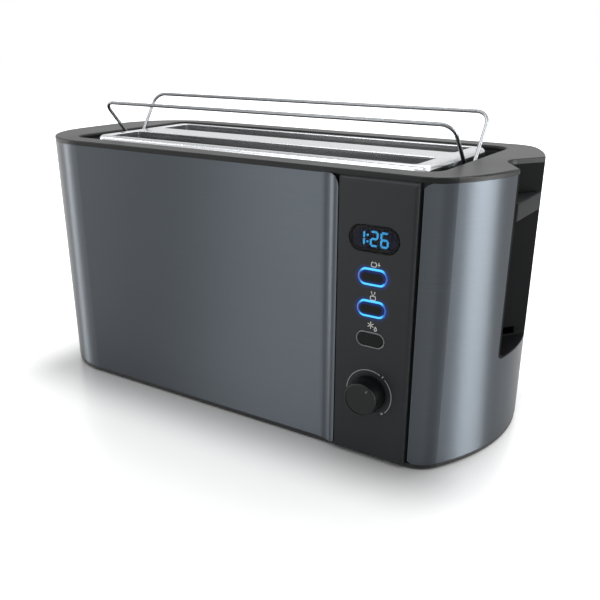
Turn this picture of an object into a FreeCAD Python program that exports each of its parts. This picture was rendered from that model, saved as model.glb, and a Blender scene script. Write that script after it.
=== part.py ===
import FreeCAD, Part
import math
import os

Vec = FreeCAD.Vector

# Long slot toaster. Built about the middle of its body: X along the length, front face towards -Y,
# Z up from the surface that it stands on. Every size is in millimetres.

# Body outline in plan
body_length = 405.0
body_depth = 173.0
body_height = 200.0
right_end_bulge = 30.5
right_corner_radius = 24.0
left_end_bulge = 5.0
left_corner_radius = 63.5

# Clearances
fit_gap = 0.2
running_gap = 0.05
seat_gap = 0.3
slide_gap = 0.4

# How far cutting shapes run past what they cut, and how near two places count as one
outline_margin = 40.0
same_place = 1e-4
upright_share = 0.9

# Base
feet_height = 1.2
foot_radius = 9.0
foot_socket_depth = 1.5
foot_edge = 0.6
foot_end_margin = 30.5
foot_side_margin = 40.5
base_inset = 0.4
base_top = 4.2
base_wall_top = 12.0
base_wall = 1.6
base_vent_length = 34.0
base_vent_width = 4.0
base_vent_pitch = 9.0
base_vent_count = 24
base_vent_y = 26.0
post_radius = 4.5
post_reach = 8.0
post_side_margin = 18.0
rod_boss_radius = 5.0
rod_socket_floor = 8.0
standoff_radius = 3.0

# Screws
screw_radius = 1.5
screw_head_radius = 2.9
screw_head_height = 1.6
screw_end_above_tab = 2.5

# Sheet-steel shells
sheet = 0.8
shell_edge_round = 0.35
control_end_margin = 41.3
control_width = 56.2
flare_rise = 3.0
flare_start_radius = 23.0
flare_end_radius = 13.0
turn_radius = 2.0
left_seam_top_radius = 7.5
left_seam_bottom_radius = 3.0
right_seam_top_radius = 8.0
right_seam_bottom_radius = 6.0
rear_seam_margin = 52.5
rear_strip_width = 12.0
rear_wing = 3.7

# Top cover
cover_thickness = 3.5
cover_edge_round = 1.2
cover_end_band = 40.6
cover_side_band = 18.6
opening_radius = 12.7
opening_edge_round = 2.0
skirt_depth = 7.0
skirt_wall = 1.6

# Slot well and slot plate
well_depth = 18.0
well_sheet = 1.0
well_flange = 6.0
plate_rise = 0.5
plate_end_gap = 12.2
plate_side_gap = 12.3
plate_corner = 9.0
plate_sheet = 0.8
plate_edge_round = 4.0
plate_seat = 4.0
slot_end_margin = 10.7
slot_side_margin = 6.6
slot_bridge = 28.0
slot_corner = 3.0
slot_lip_depth = 9.0
slot_edge_round = 0.5

# Lever recess and its notch in the cover, a little behind the middle of the end
lever_y = 4.5
notch_depth = 20.0
notch_half_width = 29.5
notch_setback = 3.0
notch_tip_radius = 15.0
channel_run = 60.0
notch_lip_round = 1.2
recess_floor = 70.5
recess_corner = 3.0
recess_wall = 1.2
recess_flange = 7.0
recess_flange_sheet = 1.4
recess_mouth_height = 6.5
recess_mouth_half_width = 20.0

# Lever and carriage
lever_drop = 35.5
lever_height = 12.3
lever_setback = 3.0
lever_gap = 0.6
lever_corner = 1.5
lever_edge_round = 1.0
lever_wall = 2.2
lever_foot_room = 6.0
stem_half_width = 1.5
stem_height = 8.0
stem_setback = 6.5
bread_rest_depth = 62.0
lift_bar_half_width = 1.0
lift_bar_height = 9.0
lift_wire_radius = 1.2
lift_wire_guard_gap = 4.4
wire_end_margin = 7.0
guard_wire_count = 13
carriage_plate_gap = 3.5
carriage_sheet = 1.5
carriage_side_margin = 4.5
carriage_drop = 14.0
rod_gap = 7.0
rod_y = 20.0
rod_radius = 2.5
bush_radius = 4.5
bush_rise = 2.0
bush_length = 16.0
spring_wire_radius = 0.5
spring_coil_radius = 3.9
spring_turns = 20
armature_wall_gap = 3.3
armature_length = 15.0
armature_half_y = 10.0
armature_thickness = 3.0
armature_arm_half_y = 8.0

# Electromagnet
magnet_yoke_height = 6.0
magnet_leg = 4.0
coil_margin = 1.0
coil_wall = 2.2

# Chassis and heating
frame_gap = 3.0
frame_sheet = 1.0
frame_side_margin = 18.5
frame_tab_half = 8.0
frame_tab_length = 15.0
frame_top_tab = 7.0
frame_top_tab_margin = 24.0
frame_top_tab_half = 5.0
board_clear = 6.5
board_thickness = 0.8
board_bottom = 30.0
board_headroom = 7.0
ribbon_count = 9
ribbon_height = 1.8
ribbon_thickness = 0.25
ribbon_end_margin = 9.0
reflector_gap = 7.0
reflector_thickness = 0.6
reflector_bottom = 24.0
reflector_headroom = 4.0
reflector_lip = 4.0

# Bread guards
guard_clear = 3.1
guard_travel = 6.0
guard_rail_radius = 1.0
guard_wire_radius = 0.8
guard_bottom = 38.0
guard_headroom = 10.0
guard_rail_overhang = 3.0

# Crumb tray
tray_end_gap = 4.5
tray_front_margin = 28.5
tray_sheet = 0.8
tray_rim = 7.0
tray_face_height = 11.0
tray_face_thickness = 3.0
tray_grip_half_x = 32.0
tray_grip_height = 5.0
tray_grip_depth = 1.8
rail_width = 2.0
rail_height = 4.0

# Control column: depths are measured inwards from a plane this far before the body's front face
column_rise = 4.2
fascia_face = 1.2
fascia_plate = 4.1
fascia_seam_gap = 0.33
fascia_wall = 1.8
fascia_skirt = 0.9
fascia_side_cover = 11.0
fascia_room = 2.0
fascia_room_depth = 16.0
pad_gap = 0.6
pad_left_round = 0.5
pad_right_round = 2.6
pad_top_round = 3.4
control_right_margin = 28.8
fascia_hole_round = 0.3
window_offset = -0.6
window_length = 36.5
window_height = 17.7
window_drop = 41.5
window_thickness = 1.0
window_land = 1.8
window_edge_round = 0.4
button_offset = -0.5
first_button_drop = 24.85
button_pitch = 21.6
button_count = 3
ring_length = 22.2
ring_height = 12.0
ring_band = 1.7
ring_gap = 0.25
ring_rise = 0.3
ring_edge_round = 0.4
ring_flange = 1.4
ring_flange_wall = 1.7
button_face = 0.7
button_edge_round = 0.4
button_flange = 1.4
button_flange_wall = 1.3
button_travel = 1.2
button_stem_radius = 2.0
switch_side = 6.0
switch_height = 3.5
control_board_front = 15.0
circuit_board = 1.6
control_board_half_x = 24.0
control_board_bottom = 34.0
control_board_headroom = 24.0
boss_inset = 3.5
boss_radius = 2.6
knob_z = 51.2
knob_radius = 12.8
knob_front_radius = 11.8
knob_protrusion = 12.1
knob_edge_round = 0.9
knob_dish_depth = 0.35
knob_dish_margin = 1.3
knob_gap = 0.5
knob_seat_radius = 14.0
knob_seat_depth = 0.6
knob_wall = 3.0
knob_hub_wall = 1.1
shaft_radius = 3.0
bushing_radius = 4.5
bushing_setback = 2.3
encoder_side = 13.0
encoder_front = 8.0

# Display digits
digit_height = 10.3
digit_width = 5.95
digit_stroke = 1.3
digit_thickness = 0.3
digit_space = 1.4
digit_gap = 0.12
digits_offset = 0.75
colon_space_before = 1.2
colon_space_after = 1.1
colon_spread = 4.2
display_front = 2.7
module_gap = 0.3

# Warming racks
rack_wire_radius = 1.35
rack_leg = 45.8
rack_end_gap = 5.0
rack_front_lean = 41.0
rack_rear_lean = 34.5
rack_bend_radius = 9.5
rack_pivot_rise = 8.0
rack_pivot_y = 4.2
rack_eye_radius = 2.7
rack_eye_width = 2.6
rack_pin_radius = 1.3
rack_ear = 1.2
rack_ear_margin = 3.8
rack_ear_cap = 3.4

# Power supply
power_board_gap = 14.0
power_board_length = 25.0
power_board_front = 22.5
power_board_width = 36.0
power_board_z = 18.0
power_board_inset = 4.0
relay_length = 15.0
relay_width = 18.0
relay_height = 14.0
capacitor_radius = 4.0
capacitor_height = 13.0
capacitor_inset = 6.0

# Cord inlet
gland_z = 26.0
gland_radius = 5.2
gland_bore = 3.6
gland_flange = 1.2
gland_length = 12.0

# Places that follow from the body
half_length = body_length / 2
half_depth = body_depth / 2
front_y = -half_depth
back_y = half_depth
cover_bottom = body_height - cover_thickness
behind_shell = sheet + fit_gap
foot_x = half_length - foot_end_margin
foot_y = half_depth - foot_side_margin
control_right = half_length - control_end_margin
control_left = control_right - control_width
rear_seam_x = half_length - rear_seam_margin

# Places that follow from the top opening
opening_half_x = half_length - cover_end_band
opening_half_y = half_depth - cover_side_band
well_floor_top = body_height - well_depth
well_floor_bottom = well_floor_top - well_sheet
plate_top = body_height + plate_rise
plate_half_x = opening_half_x - plate_end_gap
plate_half_y = opening_half_y - plate_side_gap
well_hole_half_x = plate_half_x - plate_seat
well_hole_half_y = plate_half_y - plate_seat
slot_half_x = plate_half_x - slot_end_margin
slot_half_width = (plate_half_y - slot_side_margin - slot_bridge / 2) / 2
slot_centre_y = slot_bridge / 2 + slot_half_width
rack_x = opening_half_x - rack_end_gap
rack_pivot_z = well_floor_top + rack_pivot_rise
rack_ear_top = rack_pivot_z + rack_ear_cap

# Places that follow from the slots
frame_x = slot_half_x + frame_gap
frame_outer_x = frame_x + frame_sheet
frame_half_y = half_depth - frame_side_margin
frame_top_tab_y = frame_half_y - frame_top_tab_margin
post_x = frame_outer_x + post_reach
post_y = frame_half_y - post_side_margin
board_offset = slot_half_width + board_clear
board_top = well_floor_top - board_headroom
ribbon_half_x = slot_half_x - ribbon_end_margin
reflector_y = slot_centre_y + board_offset + reflector_gap
reflector_top = well_floor_top - reflector_headroom
guard_offset = slot_half_width - guard_clear
guard_top = well_floor_top - guard_headroom
guard_rail_end = frame_outer_x + guard_rail_overhang
wire_pitch = 2 * (slot_half_x - wire_end_margin) / (guard_wire_count - 1)
tray_half_x = frame_x - tray_end_gap
tray_front_y = front_y + tray_front_margin

# Places that follow from the lever
lever_bottom = body_height - lever_drop
lever_top = lever_bottom + lever_height
lever_travel = lever_bottom - lever_foot_room - recess_floor
lever_front_x = half_length - lever_setback
notch_at_x = half_length - notch_setback
stem_end_x = half_length - stem_setback
stem_bottom = lever_bottom + (lever_height - stem_height) / 2
stem_top = stem_bottom + stem_height
bread_rest_z = body_height - bread_rest_depth
lift_wire_half_length = guard_offset - lift_wire_guard_gap
carriage_bottom = bread_rest_z - carriage_drop
carriage_plate_x = frame_outer_x + carriage_plate_gap
carriage_outer_x = carriage_plate_x + carriage_sheet
carriage_half_y = slot_centre_y + carriage_side_margin
rod_x = carriage_outer_x + rod_gap
bush_bottom = bread_rest_z + bush_rise
bush_top = bush_bottom + bush_length
armature_x1 = half_length - notch_depth - recess_wall - armature_wall_gap
armature_x0 = armature_x1 - armature_length
magnet_top = carriage_bottom - armature_thickness - lever_travel - seat_gap

# Places that follow from the control column
fascia_flange_front = turn_radius + fascia_seam_gap
fascia_flange_back = fascia_flange_front + fascia_wall
fascia_back = fascia_face + fascia_plate
fascia_bottom = base_top - fascia_skirt
ring_back = fascia_back + ring_flange_wall
button_flange_front = ring_back + seat_gap
button_flange_back = button_flange_front + button_flange_wall
control_x = control_right - control_right_margin
window_x = control_x + window_offset
window_z = body_height - window_drop
button_x = control_x + button_offset
first_button_z = window_z - first_button_drop
control_board_top = body_height - control_board_headroom
knob_x = control_x
digits_x = window_x + digits_offset
power_board_x0 = frame_outer_x + power_board_gap
power_board_x1 = power_board_x0 + power_board_length
power_board_y0 = front_y + power_board_front
power_board_y1 = power_board_y0 + power_board_width

# The finished part stands with its origin under the middle of its whole box, knob included.
origin_shift = Vec(0, (column_rise + knob_protrusion) / 2, 0)


def box(x0, x1, y0, y1, z0, z1):
    return Part.makeBox(x1 - x0, y1 - y0, z1 - z0, Vec(x0, y0, z0))


def post(x, y, radius, z0, z1):
    return Part.makeCylinder(radius, z1 - z0, Vec(x, y, z0))


def rod_between(start, end, radius):
    along = end - start
    return Part.makeCylinder(radius, along.Length, start, along)


def fuse_all(shapes):
    first = shapes[0]
    if len(shapes) == 1:
        return first
    return first.fuse(shapes[1:]).removeSplitter()


def is_upright(edge):
    return abs(edge.tangentAt(edge.FirstParameter).z) > upright_share


def on_level(edge, z):
    return all(abs(v.Z - z) < same_place for v in edge.Vertexes)


def on_front(edge, depth):
    # Whether an edge lies at this depth in the control column.
    return abs(edge.BoundBox.YMin - depth_y(depth)) + abs(edge.BoundBox.YMax - depth_y(depth)) < same_place


def mirror_y(shape):
    return shape.mirror(Vec(0, 0, 0), Vec(0, 1, 0))


def mirror_x(shape):
    return shape.mirror(Vec(0, 0, 0), Vec(1, 0, 0))


def depth_y(depth):
    return front_y - column_rise + depth


def end_circle(bulge):
    radius = (half_depth ** 2 + bulge ** 2) / (2 * bulge)
    return radius, half_length - radius


def corner_centre(bulge, corner):
    radius, centre_x = end_circle(bulge)
    side = half_depth - corner
    return centre_x + math.sqrt((radius - corner) ** 2 - side ** 2), side


def end_arcs(bulge, corner, inset, side_sign):
    # From the front line round one end to the back line: corner, bulged end, corner.
    radius, centre_x = end_circle(bulge)
    corner_x, corner_y = corner_centre(bulge, corner)
    meet = math.atan2(corner_y, corner_x - centre_x)
    half_turn = (math.pi / 2 + meet) / 2
    reach = corner - inset

    def on_corner(angle):
        return Vec(corner_x + reach * math.cos(angle), corner_y + reach * math.sin(angle), 0)

    back = [on_corner(math.pi / 2), on_corner(half_turn), on_corner(meet)]
    front = [Vec(p.x, -p.y, 0) for p in back]
    tip = Vec(centre_x + radius - inset, 0, 0)
    runs = [front, [front[2], tip, back[2]], [back[2], back[1], back[0]]]
    return [[Vec(side_sign * p.x, p.y, 0) for p in run] for run in runs]


def plan_wire(inset):
    right = end_arcs(right_end_bulge, right_corner_radius, inset, 1)
    left = end_arcs(left_end_bulge, left_corner_radius, inset, -1)
    arcs = [Part.Arc(*run).toShape() for run in right + left]
    front = Part.makeLine(left[0][0], right[0][0])
    back = Part.makeLine(right[2][2], left[2][2])
    return Part.Wire(Part.__sortEdges__(arcs + [front, back]))


def plan_prism(inset, z0, z1):
    face = Part.Face(plan_wire(inset))
    face.translate(Vec(0, 0, z0))
    return face.extrude(Vec(0, 0, z1 - z0))


def plan_band(outer_inset, inner_inset, z0, z1):
    return plan_prism(outer_inset, z0, z1).cut(plan_prism(inner_inset, z0, z1))


def rounded_block(half_x, half_y, radius, z0, z1, centre_y=0.0):
    block = box(-half_x, half_x, centre_y - half_y, centre_y + half_y, z0, z1)
    return block.makeFillet(radius, [e for e in block.Edges if is_upright(e)])


def pill(centre_x, centre_z, length, height, depth0, depth1):
    # A flat-sided rounded bar whose axis runs from front to back.
    radius = height / 2
    half = length / 2 - radius
    y0 = depth_y(depth0)
    y1 = depth_y(depth1)
    middle = box(centre_x - half, centre_x + half, y0, y1, centre_z - radius, centre_z + radius)
    ends = [Part.makeCylinder(radius, y1 - y0, Vec(centre_x + side * half, y0, centre_z), Vec(0, 1, 0))
            for side in (-1, 1)]
    return fuse_all([middle] + ends)


def disc(centre_x, centre_z, radius, depth0, depth1):
    y0 = depth_y(depth0)
    return Part.makeCylinder(radius, depth_y(depth1) - y0, Vec(centre_x, y0, centre_z), Vec(0, 1, 0))


def save(name, shape):
    moved = shape.copy()
    moved.translate(origin_shift)
    moved.exportStep(os.path.join("parts", name + ".step"))
    print(name, len(moved.Solids), round(moved.Volume, 1), moved.isValid())


# Seam and corner shapes of the sheet-steel shells


def seam_corner(seam_x, side, edge_z, up, radius):
    # What a rounded corner of a shell leaves out, where its seam meets its top or bottom edge.
    y0 = front_y - flare_rise - fit_gap
    y1 = front_y + turn_radius + fit_gap
    square = box(min(seam_x, seam_x - side * radius), max(seam_x, seam_x - side * radius),
                 y0, y1, min(edge_z, edge_z - up * radius), max(edge_z, edge_z - up * radius))
    round_part = Part.makeCylinder(radius, y1 - y0, Vec(seam_x - side * radius, y0, edge_z - up * radius),
                                   Vec(0, 1, 0))
    return square.cut(round_part)


def flare_section():
    # Beside the control column the front sheet swings outwards on a wide arc and levels off on a tighter one.
    both_radii = flare_start_radius + flare_end_radius
    turn = math.acos(1 - flare_rise / both_radii)
    flat_end = control_left - both_radii * math.sin(turn)
    start = Vec(flat_end, front_y - flare_start_radius, 0)
    end = Vec(control_left, front_y - flare_rise + flare_end_radius, 0)

    def on_arc(centre, radius, angle):
        return Vec(centre.x + radius * math.sin(angle), centre.y + radius * math.cos(angle), 0)

    def arc(centre, radius, first, last):
        return Part.Arc(*[on_arc(centre, radius, a) for a in (first, (first + last) / 2, last)]).toShape()

    inner = sheet - flare_end_radius
    rim = [arc(start, flare_start_radius, 0, turn), arc(end, -flare_end_radius, turn, 0),
           Part.makeLine(on_arc(end, -flare_end_radius, 0), on_arc(end, inner, 0)),
           arc(end, inner, 0, turn), arc(start, flare_start_radius + sheet, turn, 0),
           Part.makeLine(on_arc(start, flare_start_radius + sheet, 0), on_arc(start, flare_start_radius, 0))]
    section = Part.Face(Part.Wire(rim))
    section.translate(Vec(0, 0, base_top))
    return section.extrude(Vec(0, 0, cover_bottom - base_top)), flat_end


def turned_edge():
    # The right shell's seam edge turns inwards on a tight quarter round.
    centre = Vec(control_right + turn_radius, front_y + turn_radius, base_top)
    height = cover_bottom - base_top
    ring = Part.makeCylinder(turn_radius, height, centre).cut(
        Part.makeCylinder(turn_radius - sheet, height, centre))
    quarter = box(control_right, centre.x, front_y, centre.y, base_top, cover_bottom)
    return ring.common(quarter), centre.x


def outer_rim_edges(shape, inset, z):
    # The edges of a level rim that lie on the plan outline at this inset.
    skin = plan_wire(inset)
    skin.translate(Vec(0, 0, z))
    found = []
    for edge in shape.Edges:
        if not on_level(edge, z):
            continue
        middle = edge.valueAt((edge.FirstParameter + edge.LastParameter) / 2)
        if skin.distToShape(Part.Vertex(middle))[0] < same_place:
            found.append(edge)
    return found


def shell_band():
    # The bent sheet all round the body, with its outer top and bottom edges eased.
    band = plan_band(0, sheet, base_top, cover_bottom)
    return band.makeFillet(shell_edge_round, outer_rim_edges(band, 0, cover_bottom)
                           + outer_rim_edges(band, 0, base_top))


def left_shell():
    flare, flat_end = flare_section()
    band = shell_band()
    front_half = box(-half_length - outline_margin, flat_end, front_y - outline_margin, 0,
                     base_top, cover_bottom)
    strip_edge = rear_seam_x - rear_strip_width / 2 - fit_gap
    rear_half = box(-half_length - outline_margin, strip_edge, 0, back_y + outline_margin,
                    base_top, cover_bottom)
    shell = fuse_all([band.common(fuse_all([front_half, rear_half])), flare])
    window = box(-tray_half_x - 2 * seat_gap, tray_half_x + 2 * seat_gap,
                 back_y - outline_margin, back_y + outline_margin,
                 base_top, base_top + tray_face_height + 2 * seat_gap)
    shell = shell.cut(window)
    shell = shell.cut(seam_corner(control_left, 1, cover_bottom, 1, left_seam_top_radius))
    return shell.cut(seam_corner(control_left, 1, base_top, -1, left_seam_bottom_radius))


def right_shell():
    edge, flat_start = turned_edge()
    band = shell_band()
    front_half = box(flat_start, half_length + outline_margin, front_y - outline_margin, 0,
                     base_top, cover_bottom)
    strip_edge = rear_seam_x + rear_strip_width / 2 + fit_gap
    rear_half = box(strip_edge, half_length + outline_margin, 0, back_y + outline_margin,
                    base_top, cover_bottom)
    shell = fuse_all([band.common(fuse_all([front_half, rear_half])), edge])
    shell = shell.cut(recess_space(recess_wall + fit_gap, recess_wall + fit_gap))
    shell = shell.cut(seam_corner(control_right, -1, cover_bottom, 1, right_seam_top_radius))
    return shell.cut(seam_corner(control_right, -1, base_top, -1, right_seam_bottom_radius))


# Lever recess


def notch_tangent():
    # The notch has a round tip and two straight flanks that open towards the end of the body.
    centre_x = half_length - notch_depth + notch_tip_radius
    run_x = notch_at_x - centre_x
    reach = math.hypot(run_x, notch_half_width)
    angle = math.atan2(notch_half_width, run_x) + math.acos(notch_tip_radius / reach)
    return centre_x, angle


def channel(grow, z0, z1):
    # The notch shape grown on every side and run up and down.
    centre_x, angle = notch_tangent()
    radius = notch_tip_radius + grow
    starts = []
    ends = []
    for side in (-1, 1):
        start = Vec(centre_x + radius * math.cos(angle), lever_y + side * radius * math.sin(angle), z0)
        along = Vec(math.sin(angle), -side * math.cos(angle), 0)
        starts.append(start)
        ends.append(start + along * channel_run)
    tip = Part.Arc(starts[0], Vec(centre_x - radius, lever_y, z0), starts[1]).toShape()
    corners = (starts[1], ends[1], ends[0], starts[0])
    sides = [Part.makeLine(a, b) for a, b in zip(corners, corners[1:])]
    return Part.Face(Part.Wire([tip] + sides)).extrude(Vec(0, 0, z1 - z0))


def recess_space(grow, drop):
    # The space that the lever runs in, grown on every side and open at the top.
    floor = recess_floor - drop
    space = channel(grow, floor, body_height + outline_margin)
    bottom = [e for e in space.Edges if on_level(e, floor) and min(v.X for v in e.Vertexes) < half_length]
    return space.makeFillet(recess_corner + grow, bottom)


def lever_box(x0, x1, half_y, z0, z1):
    return box(x0, x1, lever_y - half_y, lever_y + half_y, z0, z1)


def lever_recess():
    liner = recess_space(recess_wall, recess_wall).common(
        plan_prism(0, recess_floor - recess_wall, cover_bottom))
    flange = plan_band(behind_shell, behind_shell + recess_flange_sheet,
                       recess_floor - recess_flange, cover_bottom - skirt_depth - fit_gap)
    flange = flange.common(lever_box(half_length - notch_depth, half_length,
                                     notch_half_width + recess_flange, 0, body_height))
    liner = fuse_all([liner, flange]).cut(recess_space(0, 0))
    wall_x = half_length - notch_depth - 2 * recess_wall
    centre_x = notch_tangent()[0]
    mouth = lever_box(wall_x, centre_x, recess_mouth_half_width,
                      recess_floor + recess_wall, recess_floor + recess_mouth_height)
    slot = lever_box(wall_x, centre_x, stem_half_width + slide_gap, lever_bottom - lever_travel, lever_top)
    return liner.cut(mouth).cut(slot)


def lever():
    back_x = half_length - notch_depth
    wide = notch_half_width
    pad = channel(-lever_gap, lever_bottom, lever_top)
    pad = pad.common(lever_box(back_x, lever_front_x, wide, lever_bottom, lever_top))
    corners = [e for e in pad.Edges if is_upright(e) and e.CenterOfMass.x > lever_front_x - same_place]
    pad = pad.makeFillet(lever_corner, corners)
    front = pad.common(lever_box(lever_front_x - lever_corner, lever_front_x, wide, lever_bottom, lever_top))
    rims = [e for e in pad.Edges if e.CenterOfMass.x > front.BoundBox.XMin + same_place
            and (on_level(e, lever_bottom) or on_level(e, lever_top))]
    pad = pad.makeFillet(lever_edge_round, rims)
    hollow = channel(-lever_gap - lever_wall, lever_bottom, lever_top - lever_wall)
    hollow = hollow.common(lever_box(back_x, lever_front_x - lever_wall, wide, lever_bottom, lever_top))
    web = lever_box(back_x, lever_front_x, stem_half_width + fit_gap + lever_wall, lever_bottom, lever_top)
    socket = lever_box(back_x - lever_wall, stem_end_x + fit_gap, stem_half_width + fit_gap,
                       stem_bottom - fit_gap, stem_top + fit_gap)
    return pad.cut(hollow.cut(web)).cut(socket)


# Base


def base_posts():
    return [(sx * post_x, sy * post_y) for sx in (-1, 1) for sy in (-1, 1)]


def power_standoffs():
    xs = (power_board_x0 + power_board_inset, power_board_x1 - power_board_inset)
    ys = (power_board_y0 + power_board_inset, power_board_y1 - power_board_inset)
    return [(x, y) for x in xs for y in ys]


def base_pan():
    wall_out = behind_shell
    pan = plan_prism(base_inset, feet_height, base_top)
    wall = plan_band(wall_out, wall_out + base_wall, base_top, base_wall_top)
    tray_gap = box(-tray_half_x - rail_width - 2 * seat_gap, tray_half_x + rail_width + 2 * seat_gap,
                   0, back_y, base_top, base_wall_top)
    strip_gap = box(rear_seam_x - rear_strip_width, rear_seam_x + rear_strip_width,
                    0, back_y, base_top, base_wall_top)
    wall = wall.cut(fascia_clearance(base_top, base_wall_top)).cut(tray_gap).cut(strip_gap)
    adds = [pan] + wall.Solids
    for side in (-1, 1):
        inner = side * (tray_half_x + seat_gap)
        outer = inner + side * rail_width
        adds.append(box(min(inner, outer), max(inner, outer), tray_front_y, back_y - 2 * tray_face_thickness,
                        base_top, base_top + rail_height))
        adds.append(post(rod_x, side * rod_y, rod_boss_radius, base_top, base_wall_top))
    adds += [post(x, y, post_radius, base_top, base_wall_top) for x, y in base_posts()]
    adds += [post(x, y, standoff_radius, base_top, power_board_z) for x, y in power_standoffs()]
    pan = fuse_all(adds)
    cuts = [post(rod_x, side * rod_y, rod_radius + running_gap, rod_socket_floor, base_wall_top)
            for side in (-1, 1)]
    for x, y in base_posts():
        cuts.append(post(x, y, screw_radius + running_gap, feet_height, base_wall_top))
        cuts.append(post(x, y, screw_head_radius + fit_gap, feet_height, feet_height + screw_head_height))
    for sx in (-1, 1):
        for sy in (-1, 1):
            cuts.append(post(sx * foot_x, sy * foot_y, foot_radius + fit_gap,
                             feet_height, feet_height + foot_socket_depth))
    for i in range(base_vent_count):
        x = (i - (base_vent_count - 1) / 2) * base_vent_pitch
        for y in (-base_vent_y, base_vent_y):
            cuts.append(box(x - base_vent_width / 2, x + base_vent_width / 2,
                            y - base_vent_length / 2, y + base_vent_length / 2, 0, base_top))
    return pan.cut(cuts)


def feet():
    solids = []
    for sx in (-1, 1):
        for sy in (-1, 1):
            foot = post(sx * foot_x, sy * foot_y, foot_radius, 0, feet_height + foot_socket_depth)
            solids.append(foot.makeChamfer(foot_edge, [e for e in foot.Edges if on_level(e, 0)]))
    return Part.makeCompound(solids)


def base_screws():
    solids = []
    for x, y in base_posts():
        seat = feet_height + screw_head_height
        head = post(x, y, screw_head_radius, feet_height + fit_gap, seat)
        end = base_wall_top + frame_sheet + screw_end_above_tab
        solids.append(fuse_all([head, post(x, y, screw_radius, seat, end)]))
    return Part.makeCompound(solids)


# Top


def fascia_clearance(z0, z1):
    # Room for the fascia behind the column's two neighbours.
    side = fascia_side_cover + fascia_room
    return box(control_left - side, control_right + side, front_y - fit_gap, front_y + fascia_room_depth,
               z0, z1)


def top_cover():
    slab = plan_prism(0, cover_bottom, body_height)
    slab = slab.cut(channel(0, cover_bottom, body_height))
    lips = [e for e in slab.Edges if is_upright(e) and e.Vertexes[0].X > 0
            and notch_tip_radius < abs(e.Vertexes[0].Y - lever_y) < notch_half_width + same_place]
    slab = slab.makeFillet(notch_lip_round, lips)
    slab = slab.makeFillet(cover_edge_round, [e for e in slab.Edges if on_level(e, body_height)])
    skirt = plan_band(behind_shell, behind_shell + skirt_wall, cover_bottom - skirt_depth, cover_bottom)
    skirt = skirt.cut(fascia_clearance(0, body_height))
    skirt = skirt.cut(lever_box(half_length - notch_depth - recess_flange, half_length,
                                notch_half_width + recess_flange + fit_gap, 0, body_height))
    skirt = skirt.cut(box(rear_seam_x - rear_strip_width, rear_seam_x + rear_strip_width,
                          0, back_y, 0, body_height))
    cover = fuse_all([slab] + skirt.Solids)
    opening = rounded_block(opening_half_x, opening_half_y, opening_radius, cover_bottom, body_height)
    cover = cover.cut(opening)
    inner = [e for e in cover.Edges if on_level(e, body_height)
             and abs(e.Vertexes[0].X) < opening_half_x + same_place
             and abs(e.Vertexes[0].Y) < opening_half_y + same_place]
    return cover.makeFillet(opening_edge_round, inner)


def slot_well():
    outer_x = opening_half_x + well_sheet
    outer_y = opening_half_y + well_sheet
    corner = opening_radius + well_sheet
    tub = rounded_block(outer_x, outer_y, corner, well_floor_bottom, cover_bottom)
    tub = tub.cut(rounded_block(opening_half_x, opening_half_y, opening_radius,
                                well_floor_top, cover_bottom))
    flange = rounded_block(opening_half_x + well_flange, opening_half_y + well_flange,
                           opening_radius + well_flange, cover_bottom - well_sheet, cover_bottom)
    flange = flange.cut(rounded_block(opening_half_x, opening_half_y, opening_radius,
                                      cover_bottom - well_sheet, cover_bottom))
    hole = rounded_block(well_hole_half_x, well_hole_half_y, slot_corner, well_floor_bottom, well_floor_top)
    return fuse_all([tub, flange]).cut(hole)


def slot_plate():
    outer = rounded_block(plate_half_x, plate_half_y, plate_corner, well_floor_top, plate_top)
    outer = outer.makeFillet(plate_edge_round, [e for e in outer.Edges if on_level(e, plate_top)])
    inner = rounded_block(plate_half_x - plate_sheet, plate_half_y - plate_sheet,
                          plate_corner - plate_sheet, well_floor_top, plate_top - plate_sheet)
    inner = inner.makeFillet(plate_edge_round - plate_sheet,
                             [e for e in inner.Edges if on_level(e, plate_top - plate_sheet)])
    plate = outer.cut(inner)
    lips = [rounded_block(slot_half_x + plate_sheet, slot_half_width + plate_sheet,
                          slot_corner + plate_sheet, plate_top - slot_lip_depth, plate_top - plate_sheet,
                          side * slot_centre_y)
            for side in (-1, 1)]
    plate = fuse_all([plate] + lips)
    for side in (-1, 1):
        plate = plate.cut(rounded_block(slot_half_x, slot_half_width, slot_corner,
                                        plate_top - slot_lip_depth, plate_top, side * slot_centre_y))
    rims = [e for e in plate.Edges if on_level(e, plate_top)
            and abs(abs(e.CenterOfMass.y) - slot_centre_y) < slot_half_width + same_place
            and abs(e.CenterOfMass.x) < slot_half_x + same_place]
    return plate.makeFillet(slot_edge_round, rims)


# Control column


def button_heights():
    return [first_button_z - i * button_pitch for i in range(button_count)]


def control_board_bosses():
    xs = (control_x - control_board_half_x + boss_inset, control_x + control_board_half_x - boss_inset)
    zs = (control_board_bottom + boss_inset, control_board_top - boss_inset)
    return [(x, z) for x in xs for z in zs]


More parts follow.
